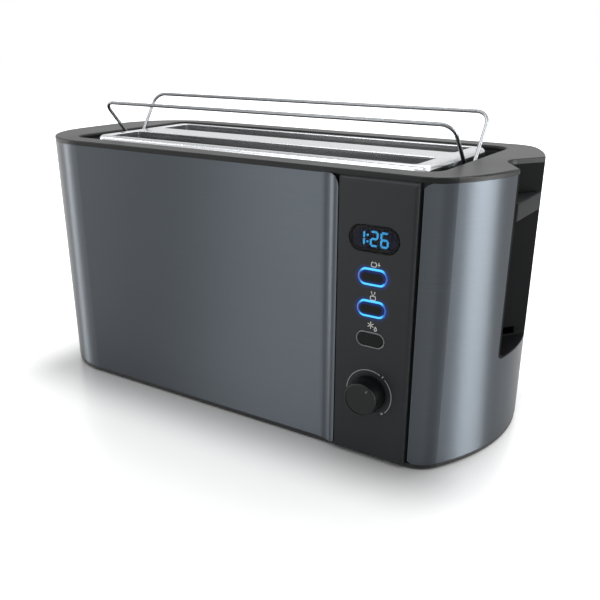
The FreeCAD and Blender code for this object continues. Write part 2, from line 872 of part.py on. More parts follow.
def control_fascia():
    # A plate before the body's front, with side walls back to a flange that lies behind the two shells.
    side = fascia_side_cover
    flange = plan_band(fascia_flange_front, fascia_flange_back, base_top, cover_bottom)
    flange = flange.common(box(control_left - side, control_right + side, front_y,
                               front_y + outline_margin, base_top, cover_bottom))
    pad_left = control_left + pad_gap
    pad_right = control_right - pad_gap
    block = box(pad_left, pad_right, depth_y(fascia_face), front_y + fascia_flange_back,
                fascia_bottom, cover_bottom)
    upright = [e for e in block.Edges if is_upright(e) and on_front(e, fascia_face)]
    left = [e for e in upright if e.Vertexes[0].X < control_x]
    right = [e for e in upright if e.Vertexes[0].X > control_x]
    top = [e for e in block.Edges if on_level(e, cover_bottom) and on_front(e, fascia_face)]
    pad = block.makeFillet(pad_left_round, left).common(block.makeFillet(pad_right_round, right))
    pad = pad.common(block.makeFillet(pad_top_round, top))
    hollow = box(pad_left + fascia_wall, pad_right - fascia_wall, depth_y(fascia_back),
                 front_y + outline_margin, base_top + fascia_wall, cover_bottom - fascia_wall)
    base_room = box(pad_left, pad_right, front_y + base_inset - fit_gap, front_y + outline_margin,
                    fascia_bottom, base_top)
    fascia = fuse_all([flange, pad]).cut(hollow).cut(base_room)
    bosses = [disc(x, z, boss_radius, fascia_back, control_board_front) for x, z in control_board_bosses()]
    fascia = fuse_all([fascia] + bosses)
    cuts = [pill(window_x, window_z, window_length, window_height, 0, fascia_face + window_thickness),
            pill(window_x, window_z, window_length - 2 * window_land, window_height - 2 * window_land,
                 0, fascia_back + fit_gap),
            disc(knob_x, knob_z, knob_seat_radius, 0, fascia_face + knob_seat_depth),
            disc(knob_x, knob_z, bushing_radius + fit_gap, 0, fascia_back + fit_gap)]
    for z in button_heights():
        cuts.append(pill(button_x, z, ring_length, ring_height, 0, fascia_back + fit_gap))
    fascia = fascia.cut(cuts)
    rims = [e for e in fascia.Edges if on_front(e, fascia_face) and e.BoundBox.ZMin > base_top
            and e.BoundBox.ZMax < cover_bottom - pad_top_round - same_place]
    return fascia.makeFillet(fascia_hole_round, rims)


def display_window():
    clear = 2 * running_gap
    lens = pill(window_x, window_z, window_length - 2 * clear, window_height - 2 * clear,
                fascia_face, fascia_face + window_thickness)
    return lens.makeFillet(window_edge_round, [e for e in lens.Edges if on_front(e, fascia_face)])


def display_module():
    length = window_length - 2 * window_land - 2 * module_gap
    height = window_height - 2 * window_land - 2 * module_gap
    return pill(window_x, window_z, length, height, display_front, control_board_front)


def digit_bars(lit):
    # Seven bars run between the six joints of a digit: a top, b and c right, d bottom, e and f left,
    # g middle. Each is given by its two joints, from the digit's lower left corner.
    left = digit_stroke / 2
    right = digit_width - left
    low = digit_stroke / 2
    middle = digit_height / 2
    high = digit_height - low
    joints = {
        "a": (left, high, right, high),
        "b": (right, middle, right, high),
        "c": (right, low, right, middle),
        "d": (left, low, right, low),
        "e": (left, low, left, middle),
        "f": (left, middle, left, high),
        "g": (left, middle, right, middle),
    }
    return [joints[name] for name in lit]


def digit_bar(x0, z0, x1, z1):
    # One bar with a point at each end, just short of its two joints.
    y = depth_y(display_front - digit_thickness)
    along = Vec(x1 - x0, 0, z1 - z0).normalize()
    across = Vec(0, 1, 0).cross(along) * (digit_stroke / 2)
    shoulder = along * (digit_stroke / 2)
    start = Vec(x0, y, z0) + along * digit_gap
    end = Vec(x1, y, z1) - along * digit_gap
    corners = [start, start + shoulder + across, end - shoulder + across, end,
               end - shoulder - across, start + shoulder - across]
    return Part.Face(Part.makePolygon(corners + [start])).extrude(Vec(0, digit_thickness, 0))


def display_digits():
    # Reads 1:26: a narrow one, a colon, a two and a six, each placed by its left edge.
    colon_left = digit_stroke + colon_space_before
    two_left = colon_left + digit_stroke + colon_space_after
    six_left = two_left + digit_width + digit_space
    left_end = digits_x - (six_left + digit_width) / 2
    bottom = window_z - digit_height / 2
    solids = []
    for left, bars in ((0, digit_bars("ef")), (two_left, digit_bars("abged")),
                       (six_left, digit_bars("afgedc"))):
        for x0, z0, x1, z1 in bars:
            x = left_end + left
            solids.append(digit_bar(x + x0, bottom + z0, x + x1, bottom + z1))
    for side in (-1, 1):
        z = window_z + side * colon_spread / 2
        solids.append(box(left_end + colon_left, left_end + colon_left + digit_stroke,
                          depth_y(display_front - digit_thickness), depth_y(display_front),
                          z - digit_stroke / 2, z + digit_stroke / 2))
    return Part.makeCompound(solids)


def light_ring(z):
    # Stands a little proud of the fascia, with rounded rims, and has a flange behind it.
    front = fascia_face - ring_rise
    face = pill(button_x, z, ring_length - 2 * ring_gap, ring_height - 2 * ring_gap, front, fascia_back)
    flange = pill(button_x, z, ring_length + 2 * ring_flange, ring_height + 2 * ring_flange,
                  fascia_back, ring_back)
    length = ring_length - 2 * ring_band + 2 * fit_gap
    height = ring_height - 2 * ring_band + 2 * fit_gap
    ring = fuse_all([face, flange]).cut(pill(button_x, z, length, height, 0, ring_back))
    return ring.makeFillet(ring_edge_round, [e for e in ring.Edges if on_front(e, front)])


def button(z):
    length = ring_length - 2 * ring_band
    height = ring_height - 2 * ring_band
    cap = pill(button_x, z, length, height, button_face, button_flange_front)
    cap = cap.makeFillet(button_edge_round, [e for e in cap.Edges if on_front(e, button_face)])
    flange = pill(button_x, z, length + 2 * button_flange, height + 2 * button_flange,
                  button_flange_front, button_flange_back)
    stem_end = control_board_front - switch_height - button_travel - seat_gap
    return fuse_all([cap, flange, disc(button_x, z, button_stem_radius, button_flange_back, stem_end)])


def control_board():
    return box(control_x - control_board_half_x, control_x + control_board_half_x,
               depth_y(control_board_front), depth_y(control_board_front + circuit_board),
               control_board_bottom, control_board_top)


def button_switches():
    half = switch_side / 2
    return Part.makeCompound([box(button_x - half, button_x + half,
                                  depth_y(control_board_front - switch_height), depth_y(control_board_front),
                                  z - half, z + half) for z in button_heights()])


def knob_encoder():
    half = encoder_side / 2
    body = box(knob_x - half, knob_x + half, depth_y(encoder_front), depth_y(control_board_front),
               knob_z - half, knob_z + half)
    bush = disc(knob_x, knob_z, bushing_radius, fascia_face + bushing_setback, encoder_front)
    bore = disc(knob_x, knob_z, shaft_radius + running_gap, 0, control_board_front - running_gap)
    return fuse_all([body, bush]).cut(bore)


def knob_shaft():
    return disc(knob_x, knob_z, shaft_radius, knob_wall - knob_protrusion,
                control_board_front - seat_gap - running_gap)


def browning_knob():
    back = fascia_face - knob_gap
    cap = Part.makeCone(knob_front_radius, knob_radius, back + knob_protrusion,
                        Vec(knob_x, depth_y(-knob_protrusion), knob_z), Vec(0, 1, 0))
    cap = cap.makeFillet(knob_edge_round, [e for e in cap.Edges if on_front(e, -knob_protrusion)])
    dish = disc(knob_x, knob_z, knob_front_radius - knob_dish_margin, -knob_protrusion,
                knob_dish_depth - knob_protrusion)
    hollow = disc(knob_x, knob_z, knob_radius - knob_wall, knob_wall - knob_protrusion, back)
    hub = disc(knob_x, knob_z, bushing_radius + knob_hub_wall, knob_wall - knob_protrusion, -knob_gap)
    bore = disc(knob_x, knob_z, shaft_radius + running_gap, knob_wall - knob_protrusion, back)
    return fuse_all([cap.cut(dish).cut(hollow), hub]).cut(bore)


# Back


def rear_strip():
    # Covers the seam between the two shells at the back and holds the cord inlet.
    half = rear_strip_width / 2
    face = plan_band(0, behind_shell, base_top, cover_bottom).common(
        box(rear_seam_x - half, rear_seam_x + half, 0, back_y, base_top, cover_bottom))
    wing = half + rear_wing
    backing = plan_band(behind_shell, behind_shell + skirt_wall, base_top, cover_bottom).common(
        box(rear_seam_x - wing, rear_seam_x + wing, 0, back_y, base_top, cover_bottom))
    hole = Part.makeCylinder(gland_radius + fit_gap - gland_flange, outline_margin,
                             Vec(rear_seam_x, back_y - outline_margin / 2, gland_z), Vec(0, 1, 0))
    pocket = Part.makeCylinder(gland_radius + fit_gap, gland_flange,
                               Vec(rear_seam_x, back_y - gland_flange, gland_z), Vec(0, 1, 0))
    return fuse_all([face, backing]).cut(hole).cut(pocket)


def cord_inlet():
    def ring(radius, y0, y1):
        return Part.makeCylinder(radius, y1 - y0, Vec(rear_seam_x, y0, gland_z), Vec(0, 1, 0))
    body = fuse_all([ring(gland_radius, back_y - gland_flange, back_y),
                     ring(gland_radius - gland_flange, back_y - gland_length, back_y)])
    return body.cut(ring(gland_bore, back_y - gland_length, back_y))


# Chassis and heating


def frame_slots():
    # Upright slots that the bread lifts run in.
    half = lift_bar_half_width + fit_gap
    low = bread_rest_z - lift_wire_radius - lift_bar_height - lever_travel - slide_gap
    high = bread_rest_z - lift_wire_radius + slide_gap
    return [(side * slot_centre_y - half, side * slot_centre_y + half, low, high) for side in (-1, 1)]


def guard_rest_places():
    # Each guard's rest place across the slot and the way that it closes.
    return [(side * slot_centre_y + way * guard_offset, -way) for side in (-1, 1) for way in (-1, 1)]


def end_frame():
    plate = box(frame_x, frame_outer_x, -frame_half_y, frame_half_y, base_wall_top, well_floor_bottom)
    adds = [plate]
    for side in (-1, 1):
        y = side * post_y
        adds.append(box(frame_outer_x, frame_outer_x + frame_tab_length, y - frame_tab_half,
                        y + frame_tab_half, base_wall_top, base_wall_top + frame_sheet))
        top_y = side * frame_top_tab_y
        adds.append(box(frame_outer_x, frame_outer_x + frame_top_tab, top_y - frame_top_tab_half,
                        top_y + frame_top_tab_half, well_floor_bottom - frame_sheet, well_floor_bottom))
    frame = fuse_all(adds)
    cuts = [box(frame_x, frame_outer_x, y0, y1, z0, z1) for y0, y1, z0, z1 in frame_slots()]
    reach = guard_rail_radius + fit_gap
    for y, way in guard_rest_places():
        closed = y + way * guard_travel
        for z in (guard_bottom, guard_top):
            cuts.append(box(frame_x, frame_outer_x, min(y, closed) - reach, max(y, closed) + reach,
                            z - reach, z + reach))
    for side in (-1, 1):
        cuts.append(post(post_x, side * post_y, screw_radius + running_gap, base_wall_top,
                         base_wall_top + frame_sheet))
    return frame.cut(cuts)


def board_places(outer):
    return [side * (slot_centre_y + (board_offset if outer else -board_offset)) for side in (-1, 1)]


def heater_board(y):
    half = board_thickness / 2
    reach = frame_x - seat_gap
    return box(-reach, reach, y - half, y + half, board_bottom, board_top)


def heater_boards(outer):
    return Part.makeCompound([heater_board(y) for y in board_places(outer)])


def heating_ribbons():
    # Flat resistance bands wrapped round each board.
    half = board_thickness / 2
    pitch = (board_top - board_bottom) / ribbon_count
    solids = []
    for y in board_places(True) + board_places(False):
        for i in range(ribbon_count):
            z = board_bottom + pitch * (i + 0.5)
            for way in (-1, 1):
                inner = y + way * half
                outer = inner + way * ribbon_thickness
                solids.append(box(-ribbon_half_x, ribbon_half_x, min(inner, outer), max(inner, outer),
                                  z - ribbon_height / 2, z + ribbon_height / 2))
    return Part.makeCompound(solids)


def outer_reflectors():
    reach = frame_x - seat_gap
    half = reflector_thickness / 2
    solids = []
    for side in (-1, 1):
        y = side * reflector_y
        sheet_part = box(-reach, reach, y - half, y + half, reflector_bottom, reflector_top)
        tip = y - side * reflector_lip
        lip = box(-reach, reach, min(y, tip), max(y, tip), reflector_bottom,
                  reflector_bottom + reflector_thickness)
        solids.append(fuse_all([sheet_part, lip]))
    return Part.makeCompound(solids)


def centre_reflector():
    reach = frame_x - seat_gap
    half = reflector_thickness / 2
    return box(-reach, reach, -half, half, reflector_bottom, reflector_top)


def bread_guard(y):
    rails = [rod_between(Vec(-guard_rail_end, y, z), Vec(guard_rail_end, y, z), guard_rail_radius)
             for z in (guard_bottom, guard_top)]
    wires = []
    for i in range(guard_wire_count):
        x = (i - (guard_wire_count - 1) / 2) * wire_pitch
        wires.append(rod_between(Vec(x, y, guard_bottom), Vec(x, y, guard_top), guard_wire_radius))
    return fuse_all(rails + wires)


# Carriage


def bread_lift(y):
    top = bread_rest_z - lift_wire_radius
    reach = frame_outer_x + seat_gap
    bar = box(-reach, carriage_plate_x, y - lift_bar_half_width, y + lift_bar_half_width,
              top - lift_bar_height, top)
    wires = []
    for i in range(guard_wire_count - 1):
        x = (i - (guard_wire_count - 2) / 2) * wire_pitch
        wires.append(rod_between(Vec(x, y - lift_wire_half_length, top),
                                 Vec(x, y + lift_wire_half_length, top), lift_wire_radius))
    return fuse_all([bar] + wires)


def carriage():
    plate = box(carriage_plate_x, carriage_outer_x, -carriage_half_y, carriage_half_y, carriage_bottom,
                stem_top)
    relief = box(carriage_plate_x, carriage_outer_x, rod_y, carriage_half_y, bush_top, stem_top)
    plate = plate.cut(relief).cut(mirror_y(relief))
    arm = box(carriage_outer_x, armature_x1, -armature_arm_half_y, armature_arm_half_y, carriage_bottom,
              carriage_bottom + carriage_sheet)
    stem = lever_box(carriage_outer_x, stem_end_x, stem_half_width, stem_bottom, stem_top)
    adds = [plate, arm, stem]
    for side in (-1, 1):
        adds.append(post(rod_x, side * rod_y, bush_radius, bush_bottom, bush_top))
        adds.append(box(carriage_outer_x, rod_x, side * rod_y - bush_radius / 2,
                        side * rod_y + bush_radius / 2, bush_bottom, bush_top))
    bracket = fuse_all(adds)
    bores = [post(rod_x, side * rod_y, rod_radius + running_gap, bush_bottom, bush_top) for side in (-1, 1)]
    return bracket.cut(bores)


def armature():
    return box(armature_x0, armature_x1, -armature_half_y, armature_half_y,
               carriage_bottom - armature_thickness, carriage_bottom)


def magnet_core():
    y = armature_half_y
    yoke = box(armature_x0, armature_x1, -y, y, base_top, base_top + magnet_yoke_height)
    legs = [box(armature_x0, armature_x1, c - magnet_leg / 2, c + magnet_leg / 2, base_top, magnet_top)
            for c in (magnet_leg / 2 - y, 0, y - magnet_leg / 2)]
    return fuse_all([yoke] + legs)


def magnet_coil():
    z0 = base_top + magnet_yoke_height + coil_margin
    z1 = magnet_top - coil_margin
    inner = magnet_leg / 2 + running_gap
    outer = inner + coil_wall
    winding = box(armature_x0 - coil_wall - running_gap, armature_x1 + coil_wall + running_gap,
                  -outer, outer, z0, z1)
    return winding.cut(box(armature_x0 - running_gap, armature_x1 + running_gap, -inner, inner, z0, z1))


def guide_rods():
    return Part.makeCompound([post(rod_x, side * rod_y, rod_radius, rod_socket_floor, well_floor_bottom)
                              for side in (-1, 1)])


def lift_spring(centre_x, centre_y):
    # A helix of quarter turns, each one arc, swept by the round wire.
    z0 = base_wall_top + seat_gap + spring_wire_radius
    z1 = bush_bottom - seat_gap - spring_wire_radius
    quarters = 4 * spring_turns
    rise = (z1 - z0) / quarters

    def on_helix(quarter):
        angle = quarter * math.pi / 2
        return Vec(centre_x + spring_coil_radius * math.cos(angle),
                   centre_y + spring_coil_radius * math.sin(angle), z0 + rise * quarter)

    arcs = [Part.Arc(on_helix(q), on_helix(q + 0.5), on_helix(q + 1)).toShape() for q in range(quarters)]
    path = Part.Wire(arcs)
    start = path.Edges[0]
    heading = start.tangentAt(start.FirstParameter)
    section = Part.Wire(Part.makeCircle(spring_wire_radius, on_helix(0), heading))
    return path.makePipeShell([section], True, False)


def lift_springs():
    pitch = (bush_bottom - base_wall_top) / spring_turns
    print("spring: least gap between turns", round(pitch - 2 * spring_wire_radius, 2))
    return Part.makeCompound([lift_spring(rod_x, side * rod_y) for side in (-1, 1)])


# Crumb tray


def crumb_tray():
    z0 = base_top + seat_gap
    back = back_y - tray_face_thickness
    outer = box(-tray_half_x, tray_half_x, tray_front_y, back, z0, z0 + tray_rim)
    inner = box(-tray_half_x + tray_sheet, tray_half_x - tray_sheet, tray_front_y + tray_sheet,
                back - tray_sheet, z0 + tray_sheet, z0 + tray_rim)
    return outer.cut(inner)


def crumb_tray_face():
    z0 = base_top + seat_gap
    face = box(-tray_half_x, tray_half_x, back_y - tray_face_thickness, back_y, z0, z0 + tray_face_height)
    grip = box(-tray_grip_half_x, tray_grip_half_x, back_y - tray_grip_depth, back_y,
               z0, z0 + tray_grip_height)
    return face.cut(grip)


# Warming racks


def rack_point(side, lean, along, x):
    # A place on a rack, this far along its leg. The front rack is on side -1 and the rear one on 1.
    angle = math.radians(lean)
    return Vec(x, side * (rack_pivot_y + along * math.sin(angle)), rack_pivot_z + along * math.cos(angle))


def warming_rack(side, lean):
    # One wire: an eye at each end, two legs and a long bar, with round bends between them.
    straight = rack_leg - rack_bend_radius
    middle_angle = math.pi / 4
    adds = []
    for end in (-1, 1):
        x = end * rack_x
        foot = rack_point(side, lean, 0, x)
        knee = rack_point(side, lean, straight, x)
        shoulder = rack_point(side, lean, rack_leg, x - end * rack_bend_radius)
        middle = rack_point(side, lean, straight + rack_bend_radius * math.sin(middle_angle),
                            x - end * rack_bend_radius * (1 - math.cos(middle_angle)))
        path = Part.Wire(Part.Arc(knee, middle, shoulder).toShape())
        section = Part.Wire(Part.makeCircle(rack_wire_radius, knee, knee - foot))
        adds += [rod_between(foot, knee, rack_wire_radius),
                 rod_between(foot - Vec(rack_eye_width / 2, 0, 0), foot + Vec(rack_eye_width / 2, 0, 0),
                             rack_eye_radius),
                 path.makePipeShell([section], True, False)]
    bar_end = rack_x - rack_bend_radius
    adds.append(rod_between(rack_point(side, lean, rack_leg, -bar_end),
                            rack_point(side, lean, rack_leg, bar_end), rack_wire_radius))
    reach = Vec(rack_x + outline_margin, 0, 0)
    pivot = rack_point(side, lean, 0, 0)
    return fuse_all(adds).cut(rod_between(pivot - reach, pivot + reach, rack_pin_radius + running_gap))


def rack_pin(side, radius):
    # A rod through both ears of the right bracket, where one rack turns.
    outer = rack_x + rack_eye_width / 2 + seat_gap + rack_ear
    inner = 2 * rack_x - outer
    y = side * rack_pivot_y
    return rod_between(Vec(inner, y, rack_pivot_z), Vec(outer, y, rack_pivot_z), radius)


def rack_brackets():
    half_y = rack_pivot_y + rack_ear_margin
    room = rack_eye_width / 2 + seat_gap
    floor = box(rack_x - room - rack_ear, rack_x + room + rack_ear, -half_y, half_y,
                well_floor_top, well_floor_top + well_sheet)
    ears = [box(x, x + rack_ear, -half_y, half_y, well_floor_top, rack_ear_top)
            for x in (rack_x - room - rack_ear, rack_x + room)]
    bores = [rack_pin(side, rack_pin_radius + running_gap) for side in (-1, 1)]
    bracket = fuse_all([floor] + ears).cut(bores)
    return Part.makeCompound([bracket, mirror_x(bracket)])


def rack_pins():
    pins = [rack_pin(side, rack_pin_radius) for side in (-1, 1)]
    return Part.makeCompound(pins + [mirror_x(pin) for pin in pins])


# Power supply


def power_board():
    return box(power_board_x0, power_board_x1, power_board_y0, power_board_y1,
               power_board_z, power_board_z + circuit_board)


def power_parts():
    z = power_board_z + circuit_board
    x = power_board_x0 + power_board_inset
    y = power_board_y0 + power_board_inset
    relay = box(x, x + relay_length, y, y + relay_width, z, z + relay_height)
    capacitor = post(x + capacitor_radius, power_board_y1 - capacitor_inset, capacitor_radius,
                     z, z + capacitor_height)
    return Part.makeCompound([relay, capacitor])


def main():
    os.makedirs("parts", exist_ok=True)
    frame = end_frame()
    save("base_pan", base_pan())
    save("feet", feet())
    save("base_screws", base_screws())
    save("left_shell", left_shell())
    save("right_shell", right_shell())
    save("top_cover", top_cover())
    save("slot_well", slot_well())
    save("slot_plate", slot_plate())
    save("lever_recess", lever_recess())
    save("rear_strip", rear_strip())
    save("cord_inlet", cord_inlet())
    save("control_fascia", control_fascia())
    save("display_window", display_window())
    save("display_module", display_module())
    save("display_digits", display_digits())
    heights = button_heights()
    save("lit_button_rings", Part.makeCompound([light_ring(z) for z in heights[:2]]))
    save("dark_button_ring", light_ring(heights[2]))
    for name, z in zip(("cancel_button", "defrost_button", "reheat_button"), heights):
        save(name, button(z))
    save("control_board", control_board())
    save("button_switches", button_switches())
    save("knob_encoder", knob_encoder())
    save("knob_shaft", knob_shaft())
    save("browning_knob", browning_knob())
    save("right_end_frame", frame)
    save("left_end_frame", mirror_x(frame))
    save("outer_heater_boards", heater_boards(True))
    save("inner_heater_boards", heater_boards(False))
    save("heating_ribbons", heating_ribbons())
    save("outer_reflectors", outer_reflectors())
    save("centre_reflector", centre_reflector())
    names = ("front_slot_front_guard", "front_slot_rear_guard",
             "rear_slot_front_guard", "rear_slot_rear_guard")
    for name, (y, way) in zip(names, guard_rest_places()):
        save(name, bread_guard(y))
    save("front_bread_lift", bread_lift(-slot_centre_y))
    save("rear_bread_lift", bread_lift(slot_centre_y))
    save("carriage", carriage())
    save("armature", armature())
    save("lever", lever())
    save("magnet_core", magnet_core())
    save("magnet_coil", magnet_coil())
    save("guide_rods", guide_rods())
    save("lift_springs", lift_springs())
    save("crumb_tray", crumb_tray())
    save("crumb_tray_face", crumb_tray_face())
    save("front_warming_rack", warming_rack(-1, rack_front_lean))
    save("rear_warming_rack", warming_rack(1, rack_rear_lean))
    save("rack_brackets", rack_brackets())
    save("rack_pins", rack_pins())
    save("power_board", power_board())
    save("power_parts", power_parts())


main()
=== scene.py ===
import math

import bpy
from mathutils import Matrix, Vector


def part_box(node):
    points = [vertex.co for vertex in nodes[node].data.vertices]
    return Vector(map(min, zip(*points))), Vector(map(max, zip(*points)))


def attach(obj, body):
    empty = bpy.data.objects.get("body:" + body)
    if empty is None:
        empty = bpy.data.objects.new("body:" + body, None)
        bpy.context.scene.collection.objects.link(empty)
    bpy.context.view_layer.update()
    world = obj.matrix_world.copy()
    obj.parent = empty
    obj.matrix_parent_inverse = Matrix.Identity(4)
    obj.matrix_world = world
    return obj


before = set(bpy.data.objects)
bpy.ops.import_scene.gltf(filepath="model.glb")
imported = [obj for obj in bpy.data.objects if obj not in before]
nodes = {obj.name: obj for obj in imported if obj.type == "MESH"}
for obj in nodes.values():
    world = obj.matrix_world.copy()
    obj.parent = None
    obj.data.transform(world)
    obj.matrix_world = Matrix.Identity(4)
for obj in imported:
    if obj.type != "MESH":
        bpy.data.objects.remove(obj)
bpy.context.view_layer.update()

# Base pan
# The black tray that everything stands on. It is moulded in ABS, with its vents and rails in the same
# shot, and screws hold it under the steel end frames.


def linear(code):
    # An sRGB hex colour as linear light.
    values = [int(code[i:i + 2], 16) / 255 for i in (1, 3, 5)]
    return tuple(v / 12.92 if v <= 0.04045 else ((v + 0.055) / 1.055) ** 2.4 for v in values) + (1.0,)


def add_node(tree, kind, settings=(), links=()):
    # Adds a node, sets its inputs or properties by name, and links its inputs to (node, output).
    node = tree.nodes.new(kind)
    for key, value in dict(settings).items():
        if isinstance(key, int) or key in node.inputs:
            node.inputs[key].default_value = value
        else:
            setattr(node, key, value)
    for key, (source, output) in dict(links).items():
        tree.links.new(source.outputs[output], node.inputs[key])
    return node


def start_material(name):
    material = bpy.data.materials.new(name)
    material.use_nodes = True
    material.node_tree.nodes.clear()
    return material, material.node_tree


def close_material(tree, shader):
    add_node(tree, "ShaderNodeOutputMaterial", (), {"Surface": (shader, 0)})


def finish_node(name, material):
    # Gives a CAD node its material through its own slots.
    for place in nodes[name].material_slots:
        place.material = material


def repeats(millimetres):
    # The texture scale of a pattern that repeats once in this many millimetres.
    return 1000 / millimetres


def moulded_abs(name, colour, worn_colour, roughness, grain, specular):
    # ABS from a tool with a spark-eroded face: an even matt skin, a little paler where hands rub it.
    # The real grain is about 0.2 mm, too fine to show, so it is drawn at the size given in millimetres.
    # Its pits swallow part of the shine, which a low specular level stands for.
    material, tree = start_material(name)
    place = add_node(tree, "ShaderNodeTexCoord")
    fine = add_node(tree, "ShaderNodeTexNoise", {"Scale": repeats(grain), "Detail": 2.0, "Roughness": 0.6},
                    {"Vector": (place, "Object")})
    broad = add_node(tree, "ShaderNodeTexNoise", {"Scale": 14.0, "Detail": 3.0},
                     {"Vector": (place, "Object")})
    tint = add_node(tree, "ShaderNodeMixRGB", {"Color1": linear(colour), "Color2": linear(worn_colour)},
                    {"Fac": (broad, "Fac")})
    rough = add_node(tree, "ShaderNodeMapRange", {"To Min": roughness - 0.05, "To Max": roughness + 0.07},
                     {"Value": (broad, "Fac")})
    bump = add_node(tree, "ShaderNodeBump", {"Strength": 0.22, "Distance": 0.0001}, {"Height": (fine, "Fac")})
    shader = add_node(tree, "ShaderNodeBsdfPrincipled", {"IOR": 1.52, "Specular IOR Level": specular},
                      {"Base Color": (tint, "Color"), "Roughness": (rough, "Result"),
                       "Normal": (bump, "Normal")})
    close_material(tree, shader)
    return material


black_abs = moulded_abs("black_abs_spark_texture", "#111213", "#18191b",
                        roughness=0.5, grain=0.9, specular=0.3)
finish_node("base_pan", black_abs)

# Feet
# Four flat rubber feet, moulded and pressed into round sockets. Rubber is dull and picks up a pale
# film of dust, so it gets a slightly lighter bloom.

rubber, tree = start_material("natural_rubber_dull")
place = add_node(tree, "ShaderNodeTexCoord")
film = add_node(tree, "ShaderNodeTexNoise", {"Scale": 160.0, "Detail": 4.0}, {"Vector": (place, "Object")})
tint = add_node(tree, "ShaderNodeMixRGB", {"Color1": linear("#101010"), "Color2": linear("#1d1c1b")},
                {"Fac": (film, "Fac")})
bump = add_node(tree, "ShaderNodeBump", {"Strength": 0.2, "Distance": 0.0002}, {"Height": (film, "Fac")})
shader = add_node(tree, "ShaderNodeBsdfPrincipled", {"Roughness": 0.82, "IOR": 1.51},
                  {"Base Color": (tint, "Color"), "Normal": (bump, "Normal")})
close_material(tree, shader)
finish_node("feet", rubber)

# Sheet-metal chassis
# The two end frames, the lift carriage and its armature are pressed from zinc-plated steel, which has
# a fine grey crystal pattern and a soft shine. The screws, the magnet core, the knob's shaft and its
# encoder are plated the same.


def plated_steel(name, colour, pale_colour, roughness, crystal):
    # Zinc crystals of this many millimetres, broken up by a broad cloud.
    material, tree = start_material(name)
    place = add_node(tree, "ShaderNodeTexCoord")
    crystals = add_node(tree, "ShaderNodeTexVoronoi", {"Scale": repeats(crystal)},
                        {"Vector": (place, "Object")})
    cloud = add_node(tree, "ShaderNodeTexNoise", {"Scale": 60.0, "Detail": 4.0},
                     {"Vector": (place, "Object")})
    shade = add_node(tree, "ShaderNodeMath", {"operation": "MULTIPLY"},
                     {0: (crystals, "Color"), 1: (cloud, "Fac")})
    tint = add_node(tree, "ShaderNodeMixRGB", {"Color1": linear(colour), "Color2": linear(pale_colour)},
                    {"Fac": (shade, "Value")})
    rough = add_node(tree, "ShaderNodeMapRange", {"To Min": roughness - 0.06, "To Max": roughness + 0.1},
                     {"Value": (shade, "Value")})
    shader = add_node(tree, "ShaderNodeBsdfPrincipled", {"Metallic": 1.0},
                      {"Base Color": (tint, "Color"), "Roughness": (rough, "Result")})
    close_material(tree, shader)
    return material


zinc_plate = plated_steel("zinc_plated_steel", "#8d9194", "#b3b7ba", roughness=0.36, crystal=1.6)
for name in ("right_end_frame", "left_end_frame", "carriage", "armature", "magnet_core", "base_screws",
             "knob_shaft", "knob_encoder"):
    finish_node(name, zinc_plate)

# Heater boards and bands
# Boards of pressed mica flakes, wound with flat heating bands. Mica is a dull silvery brown with
# pearly flakes, and the bands are a nickel alloy that heat has turned brown.

mica, tree = start_material("pressed_mica_board")
place = add_node(tree, "ShaderNodeTexCoord")
flakes = add_node(tree, "ShaderNodeTexVoronoi", {"Scale": repeats(3.0), "Randomness": 1.0},
                  {"Vector": (place, "Object")})
cloud = add_node(tree, "ShaderNodeTexNoise", {"Scale": 90.0, "Detail": 5.0}, {"Vector": (place, "Object")})
blend = add_node(tree, "ShaderNodeMath", {"operation": "MULTIPLY"}, {0: (flakes, "Color"), 1: (cloud, "Fac")})
tint = add_node(tree, "ShaderNodeMixRGB", {"Color1": linear("#8d7d62"), "Color2": linear("#cdbf9f")},
                {"Fac": (blend, "Value")})
rough = add_node(tree, "ShaderNodeMapRange", {"To Min": 0.35, "To Max": 0.75}, {"Value": (blend, "Value")})
shader = add_node(tree, "ShaderNodeBsdfPrincipled", {"IOR": 1.58},
                  {"Base Color": (tint, "Color"), "Roughness": (rough, "Result")})
close_material(tree, shader)
for name in ("outer_heater_boards", "inner_heater_boards"):
    finish_node(name, mica)

band_alloy, tree = start_material("heat_browned_nickel_band")
place = add_node(tree, "ShaderNodeTexCoord")
heat = add_node(tree, "ShaderNodeTexNoise", {"Scale": 25.0, "Detail": 2.0}, {"Vector": (place, "Object")})
tint = add_node(tree, "ShaderNodeMixRGB", {"Color1": linear("#5f564c"), "Color2": linear("#8a8078")},
                {"Fac": (heat, "Fac")})
shader = add_node(tree, "ShaderNodeBsdfPrincipled", {"Metallic": 1.0, "Roughness": 0.42},
                  {"Base Color": (tint, "Color")})
close_material(tree, shader)
finish_node("heating_ribbons", band_alloy)

# Reflectors
# Thin mill-finish aluminium sheets behind the boards. They are rolled, so they have faint streaks
# along the body. The crumb tray is folded from the same sheet.


def rolled_sheet(name, colour, pale_colour, roughness, streak):
    # Streaks are as long as the sheet and streak millimetres apart.
    material, tree = start_material(name)
    place = add_node(tree, "ShaderNodeTexCoord")
    run = add_node(tree, "ShaderNodeMapping", {"Scale": (6.0, repeats(streak), repeats(streak))},
                   {"Vector": (place, "Object")})
    streaks = add_node(tree, "ShaderNodeTexNoise", {"Scale": 1.0, "Detail": 3.0}, {"Vector": (run, "Vector")})
    tint = add_node(tree, "ShaderNodeMixRGB", {"Color1": linear(colour), "Color2": linear(pale_colour)},
                    {"Fac": (streaks, "Fac")})
    rough = add_node(tree, "ShaderNodeMapRange", {"To Min": roughness - 0.08, "To Max": roughness + 0.08},
                     {"Value": (streaks, "Fac")})
    shader = add_node(tree, "ShaderNodeBsdfPrincipled", {"Metallic": 1.0},
                      {"Base Color": (tint, "Color"), "Roughness": (rough, "Result")})
    close_material(tree, shader)
    return material


